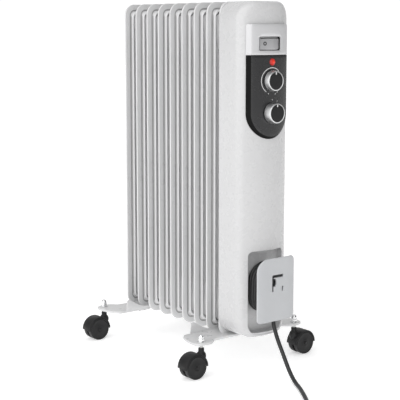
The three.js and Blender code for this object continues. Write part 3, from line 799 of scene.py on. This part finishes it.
def field_height(x, z):
    """How far a fin's pressed face stands off its middle, inside the bead."""
    height = 0.7
    for hub_z in HUB_HEIGHTS:
        from_hub = abs(z - hub_z)
        pad = rise(32.6 - abs(x), 0, 5) * rise(31 - from_hub, -6, 2)
        flare = rise(31 - math.hypot(x, from_hub), 0, 8.5)
        height += 3.6 * pad + 6 * flare * pad
    return height


def fin_side(shape, middle, way, neck):
    """One face of a fin. way is -1 towards the front. neck is the profile of its hubs."""
    rings = [
        [(x, middle + way * half, z) for x, z in fin_outline(by)]
        for by, half in ((0, 0), *FIN_EDGE, *FIN_BEAD)
    ]
    shape.loft(rings, start=False, end=False)
    loop = fin_outline(FIN_BEAD[-1][0])
    inner = []
    for hub_z in HUB_HEIGHTS:
        hub_loop = rounded(32, hub_z - 40, hub_z + 30.5, 4, 3)
        if hub_z < 300:
            hub_loop = rounded(32, hub_z - 30.5, hub_z + 40, 4, 3)
        inner += grid(hub_loop, [], 3.2, 3.2)
    inner += grid(rounded(32, HUB_HEIGHTS[0] + 42, HUB_HEIGHTS[1] - 42, 1, 1), [], 12, 36)
    inner = [p for p in inner if distance(p, loop) > 1]
    shape.fill(loop, [], inner, lambda x, z: (x, middle + way * field_height(x, z), z))
    for hub_z in HUB_HEIGHTS:
        shape.lathe(neck, 40, lambda a, b, c, hub_z=hub_z: (a, middle + way * c, hub_z + b))


NECK = [(23.4, 8.6), (22.3, 10.2), (22.0, 12.0), (22.0, 17.0), (21.5, 17.6), (0, 17.6)]
NECK_MOUTH = [(23.4, 8.6), (22.0, 9.6), (22.0, 10.0), (21.6, 10.3), (0, 10.3)]
NECK_CAP = [(24.0, 7.6), (22.4, 8.6), (20.0, 9.3), (16.0, 9.9), (9.0, 10.3), (0, 10.4)]


def fin_mesh(name, number, front, rear):
    shape = Shape()
    middle = fin_face(number) + FIN_SHEET / 2
    fin_side(shape, middle, -1, front)
    fin_side(shape, middle, 1, rear)
    return piece(name, shape, FIN_PAINT, "heater", [f"fin_{number}"])


fin_mesh("fin_skin_9", 9, NECK_MOUTH, NECK)
fin_mesh("fin_skin_1", 1, NECK, NECK_CAP)
pattern = fin_mesh("fin_skin_8", 8, NECK, NECK)
for number in range(2, 8):
    copy = bpy.data.objects.new(f"fin_skin_{number}", pattern.data)
    copy.location.y = (8 - number) * FIN_PITCH / 1000
    scene.collection.objects.link(copy)
    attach(copy, "heater")
    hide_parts(f"fin_{number}")


# ---------------------------------------------------------------- front cover
def round_over(radius, steps):
    """Pairs of inset and drop that round an edge, from the side to the front."""
    pairs = []
    for i in range(steps + 1):
        t = math.pi / 2 * i / steps
        pairs.append((radius * (1 - math.cos(t)), radius * (1 - math.sin(t))))
    return pairs


cover_loop = dense(
    rounded(COVER_HALF_WIDTH, COVER_BOTTOM, COVER_TOP, COVER_CORNER, 10), 7
)
cover = Shape()
rings = [
    [(x, y, z) for x, z in inset(cover_loop, by)]
    for by, y in ((2, -20), (2, -1.1), (1.5, -0.5), (0.5, -0.5), (0, -1.1), (0, -14), (0, -28))
]
for by, drop in round_over(COVER_EDGE, 8):
    rings.append([(x, front_y(x) + drop, z) for x, z in inset(cover_loop, by)])
cover.loft(rings, start=False, end=False)
front_loop = inset(cover_loop, COVER_EDGE)
recess_loop = dense(
    rounded(RECESS_HALF_WIDTH, RECESS_BOTTOM, RECESS_TOP, 7, 6, low_radius=18), 7
)
recess_rim = inset(recess_loop, -1.8)
inner = grid(front_loop, [recess_rim], 5.5, 14)
cover.fill(front_loop, [recess_rim], inner, lambda x, z: (x, front_y(x), z))
pocket = [
    [(x, front_y(x) + drop, z) for x, z in inset(recess_loop, -by)]
    for by, drop in ((1.8, 0), (1.1, 0.12), (0.5, 0.5), (0.1, 1.2), (0, 2.0))
]
for by, y in ((0, RECESS_FLOOR - 3), (0.3, RECESS_FLOOR - 1.4), (1.2, RECESS_FLOOR - 0.4)):
    pocket.append([(x, y, z) for x, z in inset(recess_loop, by)])
pocket.append([(x, RECESS_FLOOR, z) for x, z in inset(recess_loop, 2.6)])
cover.loft(pocket, start=False)
piece("front_cover_shell", cover, COVER_PAINT, "heater", ["front_cover"])


# ---------------------------------------------------------------- control panel
def panel_foot(point):
    """Where a point of the panel's outline comes down on the cover: its walls spread outwards."""
    x, z = point
    grow = 1 + PANEL_DRAFT / PANEL_HALF_WIDTH
    return (x * grow, z if z > SELECTOR_Z else SELECTOR_Z + (z - SELECTOR_Z) * grow)


def bowed_plate(shape, loop, holes, edge, step=4.5):
    """A panel that follows the cover's bow, with spreading walls and its front edges rounded."""
    front = PANEL_STAND
    foot = [panel_foot(p) for p in loop]
    under = inset(foot, 0.9)
    rings = [
        [(x, front_y(x, -0.4), z) for x, z in under],
        [(x, front_y(x, 0.7), z) for x, z in under],
        [(x, front_y(x, 0.7), z) for x, z in foot],
    ]
    for by, drop in round_over(edge, 4):
        rings.append([(x, front_y(x, front - drop), z) for x, z in inset(loop, by)])
    shape.loft(rings, start=False, end=False)
    rims = []
    for hole in holes:
        rim = inset(hole, -0.6)
        rims.append(rim)
        shape.loft(
            [
                [(x, front_y(x, front), z) for x, z in rim],
                [(x, front_y(x, front - 0.18), z) for x, z in inset(hole, -0.18)],
                [(x, front_y(x, front - 0.6), z) for x, z in hole],
                [(x, front_y(x, 0), z) for x, z in hole],
            ],
            start=False,
            end=False,
        )
    face = inset(loop, edge)
    shape.fill(face, rims, grid(face, rims, step, step), lambda x, z: (x, front_y(x, front), z))


def paint_faces(thing, material, chosen):
    """Gives a second material to the faces that chosen picks."""
    thing.data.materials.append(material)
    for polygon in thing.data.polygons:
        if chosen(polygon):
            polygon.material_index = 1


black_loop = dense(
    [
        *arc(0, SELECTOR_Z, PANEL_HALF_WIDTH, 180, 360, 40),
        (PANEL_HALF_WIDTH, PANEL_SPLIT - 0.4), (PANEL_HALF_WIDTH - 0.4, PANEL_SPLIT),
        (0.4 - PANEL_HALF_WIDTH, PANEL_SPLIT), (-PANEL_HALF_WIDTH, PANEL_SPLIT - 0.4),
    ],
    4,
)
black_panel = Shape()
bowed_plate(black_panel, black_loop, [], 0.9)
panel_face = piece(
    "control_panel_face", black_panel, BLACK_GLOSS, "heater", ["control_panel"]
)
# The panel's side walls get the darker, duller black: painted shade on the walls.
paint_faces(panel_face, SHADE_BLACK, lambda polygon: polygon.normal.y > -0.72)

silver_loop = dense(
    rounded(PANEL_HALF_WIDTH, PANEL_SPLIT + 0.4, PANEL_TOP, 3, 5, low_radius=0.4), 4
)
switch_hole = dense(
    rounded(22.5, SWITCH_Z - 11.5, SWITCH_Z + 11.5, 2.5, 4, x=SWITCH_X), 4
)
silver_panel = Shape()
bowed_plate(silver_panel, silver_loop, [switch_hole], 0.9)
piece("label_panel_face", silver_panel, LABEL_SILVER, "heater", ["label_plate"])

# ---------------------------------------------------------------- rocker switch
PANEL_FACE = front_y(0, PANEL_STAND)
frame_loop = rounded(22.2, SWITCH_Z - 11.2, SWITCH_Z + 11.2, 3.0, 5, x=SWITCH_X)
frame_hole = rounded(21.6, SWITCH_Z - 10.7, SWITCH_Z + 10.7, 2.5, 5, x=SWITCH_X)
switch_front = PANEL_FACE + 2.6
switch = Shape()
switch.loft(
    [
        [(x, y, z) for x, z in inset(loop, by)]
        for loop, by, y in (
            (frame_loop, 0, -46),
            (frame_loop, 0, switch_front + 0.4),
            (frame_loop, 0.2, switch_front),
            (frame_hole, -0.2, switch_front),
            (frame_hole, 0, switch_front + 0.3),
            (frame_hole, 0, PANEL_FACE + 15),
        )
    ],
)
switch_frame = piece(
    "rocker_switch_frame", switch, ROCKER_SILVER, "heater", ["rocker_switch_body"]
)
# The walls of the frame's well, behind its front lip, are painted black: painted shade in the gap round
# the rocker.
well_y = (switch_front + 0.5 + ORIGIN_Y) / 1000
paint_faces(switch_frame, SHADE_BLACK, lambda polygon: polygon.center.y > well_y)

# The rocker's section seen from above, about its pivot line, and its ends rounded over.
ROCKER_HALF = 21
ROCKER_Y = PANEL_FACE + 6.4
rocker_section = [
    (-ROCKER_HALF, 3), (-ROCKER_HALF, -0.9), (-20.5, -1.5), (3, -6.1), (5, -6.28), (7, -6.2),
    (8.6, -6.0), (10, -5.6), (20.5, -1.8), (ROCKER_HALF, -1.2), (ROCKER_HALF, 3), (6, 6.5),
    (-6, 6.5),
]
rocker = Shape()
rings = []
for by, shrink, z in (
    (0.9, 1.7, -10.2), (0.4, 1.0, -10.0), (0.15, 0.45, -9.4), (0.04, 0.12, -8.6), (0, 0, -7.7),
    (0, 0, 7.3), (0.08, 0.1, 7.9), (0.35, 0.3, 8.25), (0.9, 0.6, 8.4),
):
    narrow = 1 - shrink / ROCKER_HALF
    outline = inset(rocker_section, by)
    rings.append([(SWITCH_X + x * narrow, ROCKER_Y + y, SWITCH_Z + z) for x, y in outline])
rocker.loft(rings)
rocker_cap = piece(
    "rocker_key_cap", rocker, ROCKER_SILVER, "rocker_key", ["rocker"], sharp=25
)
# The rocker's upward-facing top end is painted black: painted shade in the gap above the rocker.
paint_faces(rocker_cap, SHADE_BLACK, lambda polygon: polygon.normal.z > 0.6)


def rocker_face(x):
    """Y just in front of the rocker's long left face."""
    return ROCKER_Y - 1.5 - (x - SWITCH_X + 20.5) * 4.6 / 23.5 - 0.05


mark = Shape()
MARK_X = SWITCH_X - 10.8
ring_out = arc(MARK_X, SWITCH_Z, 3.3, 0, 345, 23)
ring_in = arc(MARK_X, SWITCH_Z, 1.4, 0, 345, 23)
mark.loft(
    [[(x, rocker_face(x), z) for x, z in ring] for ring in (ring_out, ring_in)],
    start=False,
    end=False,
)
piece("rocker_mark", mark, PRINT_DARK, "rocker_key")

# ---------------------------------------------------------------- pilot lamp
def forwards(z):
    """Places a lathe about a line towards the front, from the panel's face."""
    return lambda a, b, c: (a, PANEL_FACE - c, z + b)


lamp = Shape()
lamp.lathe(
    [
        (4.6, -16), (4.6, -0.3), (5.9, -0.3), (6.0, 0.2), (5.8, 0.6), (5.3, 0.8), (5.0, 1.5),
        (4.4, 2.3), (3.4, 3.0), (2.2, 3.45), (1.1, 3.65), (0, 3.7),
    ],
    36,
    forwards(LAMP_Z),
)
piece("pilot_lamp_lens", lamp, RED_LENS, "heater", ["pilot_lamp"])


# ---------------------------------------------------------------- knobs
def knob(name, body, z, height):
    r = KNOB_RADIUS
    skirt = Shape()
    skirt.lathe(
        [
            (3.4, 0.6), (r - 0.5, 0.6), (r - 0.1, 0.8), (r, 1.2), (r - 0.05, 2.0),
            (r - 1.15, height - 1.3), (r - 1.3, height - 0.6), (r - 1.6, height - 0.15),
            (r - 2.0, height), (r - 2.7, height), (r - 2.95, height - 0.25),
            (r - 3.0, height - 1.4), (0, height - 1.4),
        ],
        96,
        forwards(z),
    )
    piece(f"{name}_knob_skirt", skirt, KNOB_METAL, body, [f"{name}_knob"], sharp=40)
    top = Shape()
    top.lathe(
        [
            (r - 3.15, height - 1.6), (r - 3.15, height - 0.75), (r - 3.4, height - 0.45),
            (r - 3.9, height - 0.35), (r - 9, height - 0.42), (0, height - 0.45),
        ],
        96,
        forwards(z),
    )
    piece(f"{name}_knob_cap", top, BLACK_MATT, body)
    pointer = Shape()
    loop = rounded(1.1, z + r - 7.2, z + r - 3.0, 1.0, 5)
    pointer.loft(
        [
            [(x, PANEL_FACE - height + y, pz) for x, pz in inset(loop, by)]
            for by, y in ((0, 0.7), (0, 0.3), (0.2, 0.12), (0.5, 0.05))
        ],
        start=False,
    )
    piece(f"{name}_knob_pointer", pointer, PRINT, body)


knob("thermostat", "thermostat", THERMOSTAT_Z, 10.5)
knob("selector", "selector", SELECTOR_Z, 14.5)


# ---------------------------------------------------------------- printed marks
def printed_arc(shape, z, radius, start, end, thin, thick):
    """A band about a knob that widens along its way. Angles are degrees from +X, in the front view."""
    steps = 60
    inner_edge = []
    outer_edge = []
    for i in range(steps + 1):
        t = math.radians(start + (end - start) * i / steps)
        half = (thin + (thick - thin) * i / steps) / 2
        for edge, r in ((inner_edge, radius - half), (outer_edge, radius + half)):
            x = r * math.cos(t)
            edge.append((x, front_y(x, PANEL_STAND + 0.05), z + r * math.sin(t)))
    shape.loft([inner_edge, outer_edge], close=False, start=False, end=False)


def printed_bar(shape, x, z, half_width, half_height, turn=0):
    c, s = math.cos(math.radians(turn)), math.sin(math.radians(turn))
    corners = []
    for u, v in ((-1, -1), (1, -1), (1, 1), (-1, 1)):
        px = x + u * half_width * c - v * half_height * s
        pz = z + u * half_width * s + v * half_height * c
        corners.append((px, front_y(px, PANEL_STAND + 0.05), pz))
    shape.add(corners, [(0, 1, 2, 3)])


marks = Shape()
printed_arc(marks, THERMOSTAT_Z, 21.6, 236, -10, 0.9, 1.4)
for x, z in ((-7.8, 478.2), (7.1, 477.6), (0.6, 468.1), (12.1, 465.4)):
    printed_bar(marks, x, z, 0.55, 0.8)
printed_bar(marks, 11.9, 480.6, 1.2, 0.4, 50)
piece("panel_marks", marks, PRINT, "heater")

# ---------------------------------------------------------------- cord wrap plate
PLATE_FRONT = -92.3
PLATE_BOW = 700
PLATE_SHEET = 3


def plate_y(x, stand):
    bend = 2.4 * rise(abs(x), 27, 47) + 0.6 * rise(x, 28, 31)
    return PLATE_FRONT + PLATE_BOW - math.sqrt((PLATE_BOW + stand) ** 2 - x * x) + bend


plate_loop = dense(
    [
        *arc(35, 100.6, 6, -90, 0, 6),
        *arc(32, 194.4, 9, 0, 90, 8),
        *arc(-19, 181.4, 22, 90, 180, 12),
        *arc(-35, 100.6, 6, 180, 270, 6),
    ],
    5,
)
hook_slot = dense(
    [
        (-11.1, 146), (-7.6, 146), (-7.6, 154.5), (-3.6, 154.5), (-1.6, 158), (-1.6, 164.5),
        (-3.6, 168), (-6.6, 168), (-6.6, 169.6), (13.8, 169.6), (13.8, 174.4), (-9.1, 174.4),
        (-11.1, 172.4),
    ],
    3,
)
clip_slot = dense([(10.6, 145.4), (13.8, 145.4), (13.8, 153.6), (10.6, 153.6)], 3)
plate_slots = [hook_slot, clip_slot]
wrap_plate = Shape()
rings = [[(x, plate_y(x, -PLATE_SHEET), z) for x, z in inset(plate_loop, 0.6)]]
rings.append([(x, plate_y(x, 0.6 - PLATE_SHEET), z) for x, z in plate_loop])
for by, drop in round_over(1.2, 4):
    rings.append([(x, plate_y(x, -drop), z) for x, z in inset(plate_loop, by)])
wrap_plate.loft(rings, start=False, end=False)
slot_rims = [inset(slot, -0.5) for slot in plate_slots]
for loop, holes, stand in (
    (inset(plate_loop, 1.2), slot_rims, 0),
    (inset(plate_loop, 0.6), plate_slots, -PLATE_SHEET),
):
    inner = grid(loop, holes, 4.2, 4.2)
    wrap_plate.fill(loop, holes, inner, lambda x, z, stand=stand: (x, plate_y(x, stand), z))
for slot, rim in zip(plate_slots, slot_rims):
    wrap_plate.loft(
        [
            [(x, plate_y(x, 0), z) for x, z in rim],
            [(x, plate_y(x, -0.15), z) for x, z in inset(slot, -0.15)],
            [(x, plate_y(x, -0.5), z) for x, z in slot],
            [(x, plate_y(x, -PLATE_SHEET), z) for x, z in slot],
        ],
        start=False,
        end=False,
    )
piece("cord_wrap_face", wrap_plate, GREY_PLASTIC, "heater", ["cord_wrap_plate"])

# ---------------------------------------------------------------- foot brackets, casters and their nuts
PAD_SIDE = [
    (103, 34), (112, 24), (118, 8), (121, -12), (120, -22), (114, -28), (104, -30), (92, -30),
    (84, -25), (76, -17),
]
BRACKET_SHEET = 1.8
MIDDLE = (FRONT_STEM_Y + REAR_STEM_Y) / 2


def bracket(end):
    def place(x, y, z):
        return (x, y, z) if end == "front" else (-x, 2 * MIDDLE - y, z)

    loop = [(-x, y) for x, y in PAD_SIDE] + PAD_SIDE[::-1]
    loop = rounded_corners(loop)
    shape = Shape()
    rings = []
    steps = [(1.8, 57.9), (1.8, 56.0), (1.3, 55.7), (0.4, 55.7), (0, 56.1), (0, 58.3)]
    for by, z in steps:
        rings.append([place(x, y, z) for x, y in inset(loop, by)])
    for by, drop in round_over(1.7, 5):
        rings.append([place(x, y, BRACKET_TOP - drop) for x, y in inset(loop, by)])
    shape.loft(rings, start=False, end=False)
    top = inset(loop, 1.7)
    shape.fill(top, [], [], lambda x, y: place(x, y, BRACKET_TOP))
    under = inset(loop, 1.8)
    shape.fill(under, [], [], lambda x, y: place(x, y, BRACKET_TOP - BRACKET_SHEET))
    ear = [(90, 59), (88, 79), (82, 79.5), (64, 68), (50, 62.5), (-50, 62.5), (-64, 68)]
    ear += [(-82, 79.5), (-88, 79), (-90, 59)]
    ear = rounded_corners(ear)
    shape.loft(
        [
            [place(x, y, z) for x, z in inset(ear, by)]
            for by, y in ((0.6, 34.0), (0.15, 33.85), (0, 33.4), (0, 32.8), (0.15, 32.35), (0.6, 32.2))
        ],
        start=False,
        end=False,
    )
    for y in (34.0, 32.2):
        shape.fill(inset(ear, 0.6), [], [], lambda x, z, y=y: place(x, y, z))
    name = f"foot_bracket_{end}"
    piece(f"{name}_pressing", shape, WHITE_PAINT, "heater", [name], sharp=40)


def rounded_corners(loop, reach=3.0):
    """The loop with each corner replaced by a short curve."""
    points = []
    for i, p in enumerate(loop):
        a, b = Vector(loop[i - 1]), Vector(loop[(i + 1) % len(loop)])
        p = Vector(p)
        before = p + (a - p).normalized() * min(reach, (a - p).length * 0.45)
        after = p + (b - p).normalized() * min(reach, (b - p).length * 0.45)
        for t in (0, 0.25, 0.5, 0.75, 1):
            q = before * (1 - t) ** 2 + p * 2 * t * (1 - t) + after * t * t
            points.append((q.x, q.y))
    return points


for end in ("front", "rear"):
    bracket(end)


def cap_nut(corner, x, y):
    low = BRACKET_TOP + 0.3

    def place(a, b, c):
        return (x + a, y + b, low + c)

    shape = Shape()
    shape.lathe([(3.5, 0), (6.8, 0), (7.0, 0.3), (6.9, 0.9), (6.2, 1.4), (4, 1.5)], 40, place)
    hexagon = rounded_corners(arc(0, 0, 5.8, 0, 300, 5), 0.5)
    shape.loft(
        [
            [place(u, v, c) for u, v in inset(hexagon, by)]
            for by, c in ((0.1, 1.3), (0, 1.7), (0, 5.2), (0.2, 5.7), (0.7, 6.1), (1.3, 6.2))
        ],
        start=False,
    )
    dome = [(4.75, 5.9), (4.8, 6.4), (4.8, 8.2)]
    for i in range(1, 11):
        t = math.pi / 2 * i / 10
        dome.append((4.8 * math.cos(t) if i < 10 else 0, 8.2 + 5.0 * math.sin(t)))
    shape.lathe(dome, 40, place)
    piece(f"cap_nut_dome_{corner}", shape, CHROME, "heater", [f"cap_nut_{corner}"])


def caster_hood(corner, x, y, sign):
    """The hood trails outwards, on the side that sign gives."""

    def place(u, v, z):
        return (x + sign * u, y + sign * v, z)

    shape = Shape()
    section = [
        (20.5, -12.3), (20.9, -12.65), (22.6, -12.65), (23.3, -12.3), (23.6, -11.6), (23.6, 11.6),
        (23.3, 12.3), (22.6, 12.65), (20.9, 12.65), (20.5, 12.3),
    ]
    sweep = []
    for i in range(41):
        t = math.radians(180 * i / 40)
        sweep.append(
            [
                place(CASTER_TRAIL + r * math.cos(t), w, WHEEL_RADIUS + r * math.sin(t))
                for r, w in section
            ]
        )
    shape.loft(sweep)
    web = arc(CASTER_TRAIL, WHEEL_RADIUS, 22, 0, 180, 36)
    web += [(1.5, 14), (11.5, 11), (23.5, 11), (33.5, 14)]
    web_edges = ((0.5, -2.4), (0, -1.9), (0, 1.9), (0.5, 2.4))
    shape.loft([[place(u, w, z) for u, z in inset(web, by)] for by, w in web_edges])
    neck = [
        (0, 24), (3.4, 25), (6.2, 29), (8.2, 33), (8.6, 36), (8.1, 39.2), (6.8, 41.8), (5.4, 43.2),
        (5.0, 44.0), (5.0, 49.2), (4.7, 49.8), (4.1, 50), (0, 50),
    ]
    shape.lathe(neck, 36, place)
    for way in (-1, 1):
        end = [(3.1, 2), (3.1, 12.7), (2.7, 13.0), (0, 13.1)]
        shape.lathe(
            end,
            28,
            lambda a, b, c, way=way: place(CASTER_TRAIL + a, way * c, WHEEL_RADIUS + b),
        )
    piece(
        f"caster_hood_shell_{corner}",
        shape,
        BLACK_MATT,
        f"swivel_{corner}",
        [f"caster_hood_{corner}"],
        sharp=40,
    )


WHEEL = [
    (3.4, 2.7), (18.6, 2.7), (19.6, 3.1), (20.0, 4.0), (20.0, 11.4), (19.8, 12.1), (19.3, 12.45),
    (18.6, 12.5), (17.8, 12.5), (17.5, 12.3), (17.0, 12.2), (7.4, 12.2), (7.0, 12.35), (6.4, 12.5),
    (4.1, 12.5), (3.6, 12.2), (3.4, 11.4),
]


def caster_wheel(corner, x, y, sign, where, way):
    def place(a, b, c):
        return (x + sign * CASTER_TRAIL + a, y + way * c, WHEEL_RADIUS + b)

    shape = Shape()
    shape.lathe(WHEEL, 72, place)
    name = f"{corner}_{where}"
    piece(
        f"caster_tyre_{name}",
        shape,
        BLACK_MATT,
        f"wheel_{name}",
        [f"caster_wheel_{name}"],
        sharp=28,
    )


for end, stem_y in (("front", FRONT_STEM_Y), ("rear", REAR_STEM_Y)):
    for side, sign in (("left", -1), ("right", 1)):
        corner = f"{end}_{side}"
        cap_nut(corner, sign * STEM_X, stem_y)
        caster_hood(corner, sign * STEM_X, stem_y, sign)
        caster_wheel(corner, sign * STEM_X, stem_y, sign, "front", -1)
        caster_wheel(corner, sign * STEM_X, stem_y, sign, "rear", 1)

# ---------------------------------------------------------------- U-bolts round the lower hubs
for end, bolt_y in (("front", 18.4), ("rear", 266.2)):
    line = [(25.8, bolt_y, z) for z in (44, 60, 80, 95)]
    line += [(u, bolt_y, v) for u, v in arc(0, 105, 25.8, 0, 180, 28)]
    line += [(-25.8, bolt_y, z) for z in (95, 80, 60, 44)]
    bolt = Shape()
    bolt.tube(line, 3, 20)
    name = f"u_bolt_{end}"
    piece(f"{name}_rod", bolt, ZINC, "heater", [name])

# ---------------------------------------------------------------- the CAD's own parts that stay in view
SLOT_MATERIALS = {
    "white_paint": WHITE_PAINT,
    "white_plastic": PRINT,
    "black_gloss": BLACK_GLOSS,
    "black_matt": BLACK_MATT,
    "grey_plastic": GREY_PLASTIC,
    "silver": LABEL_SILVER,
    "red_lens": RED_LENS,
    "chrome": CHROME,
    "zinc": ZINC,
    "rubber": RUBBER,
}
for sub_part in frame["record"]["subparts"]:
    node = bpy.data.objects.get(sub_part["node"])
    if node is not None:
        node.data.materials.clear()
        node.data.materials.append(SLOT_MATERIALS[sub_part["material_slot"]])


# ---------------------------------------------------------------- floor, world and lights
def floor_material():
    material, nodes, links, shader = new_material("white_floor")
    drift = noise(nodes, links, 1.5)
    white = tint(nodes, links, drift, (0.93, 0.93, 0.93), (0.95, 0.95, 0.95))
    links.new(white, shader.inputs["Base Color"])
    links.new(spread(nodes, links, drift, 0.75, 0.85), shader.inputs["Roughness"])
    shader.inputs["Specular IOR Level"].default_value = 0.1
    shader.inputs["Emission Color"].default_value = (1, 1, 1, 1)
    shader.inputs["Emission Strength"].default_value = 0.4
    return material


floor_mesh = bpy.data.meshes.new("floor")
floor_mesh.from_pydata([(-14, -14, 0), (14, -14, 0), (14, 14, 0), (-14, 14, 0)], [], [(0, 1, 2, 3)])
floor_mesh.materials.append(floor_material())
floor = bpy.data.objects.new("floor", floor_mesh)
scene.collection.objects.link(floor)


def studio_world():
    """Soft light from the left front and from a bright backdrop, which the camera sees as white."""
    world = bpy.data.worlds.new("studio")
    world.use_nodes = True
    nodes, links = world.node_tree.nodes, world.node_tree.links
    where = nodes.new("ShaderNodeTexCoord")
    total = None
    for direction, low, high, strength in (
        ((0, 0, 1), -1.0, -0.99, 0.14),
        ((-0.92, -0.32, 0.20), 0.25, 1.0, 1.5),
        ((0.61, 0.79, 0.05), 0.45, 0.95, 0.6),
        ((0, 0, 1), 0.3, 1.0, 0.6),
    ):
        dot = nodes.new("ShaderNodeVectorMath")
        dot.operation = "DOT_PRODUCT"
        dot.inputs[1].default_value = direction
        links.new(where.outputs["Generated"], dot.inputs[0])
        lobe = nodes.new("ShaderNodeMapRange")
        lobe.interpolation_type = "SMOOTHSTEP"
        lobe.inputs["From Min"].default_value = low
        lobe.inputs["From Max"].default_value = high
        lobe.inputs["To Max"].default_value = strength
        links.new(dot.outputs["Value"], lobe.inputs["Value"])
        if total is None:
            total = lobe.outputs["Result"]
        else:
            add = nodes.new("ShaderNodeMath")
            links.new(total, add.inputs[0])
            links.new(lobe.outputs["Result"], add.inputs[1])
            total = add.outputs["Value"]
    light = nodes["Background"]
    light.inputs["Color"].default_value = (1, 1, 1, 1)
    links.new(total, light.inputs["Strength"])
    backdrop = nodes.new("ShaderNodeBackground")
    backdrop.inputs["Color"].default_value = (1, 1, 1, 1)
    backdrop.inputs["Strength"].default_value = 1.05
    path = nodes.new("ShaderNodeLightPath")
    mix = nodes.new("ShaderNodeMixShader")
    links.new(path.outputs["Is Camera Ray"], mix.inputs["Fac"])
    links.new(light.outputs["Background"], mix.inputs[1])
    links.new(backdrop.outputs["Background"], mix.inputs[2])
    links.new(mix.outputs["Shader"], nodes["World Output"].inputs["Surface"])
    return world


scene.world = studio_world()


def area_light(name, spot, aim, size, watts):
    data = bpy.data.lights.new(name, "AREA")
    data.shape = "RECTANGLE"
    data.size, data.size_y = size
    data.energy = watts
    light = bpy.data.objects.new(name, data)
    light.location = spot
    light.rotation_euler = (Vector(aim) - Vector(spot)).to_track_quat("-Z", "Y").to_euler()
    scene.collection.objects.link(light)


area_light("key", (-1.0, -2.6, 1.6), (0, 0, 0.35), (1.0, 1.4), 5)

scene.view_settings.view_transform = "Standard"
scene.view_settings.look = "None"
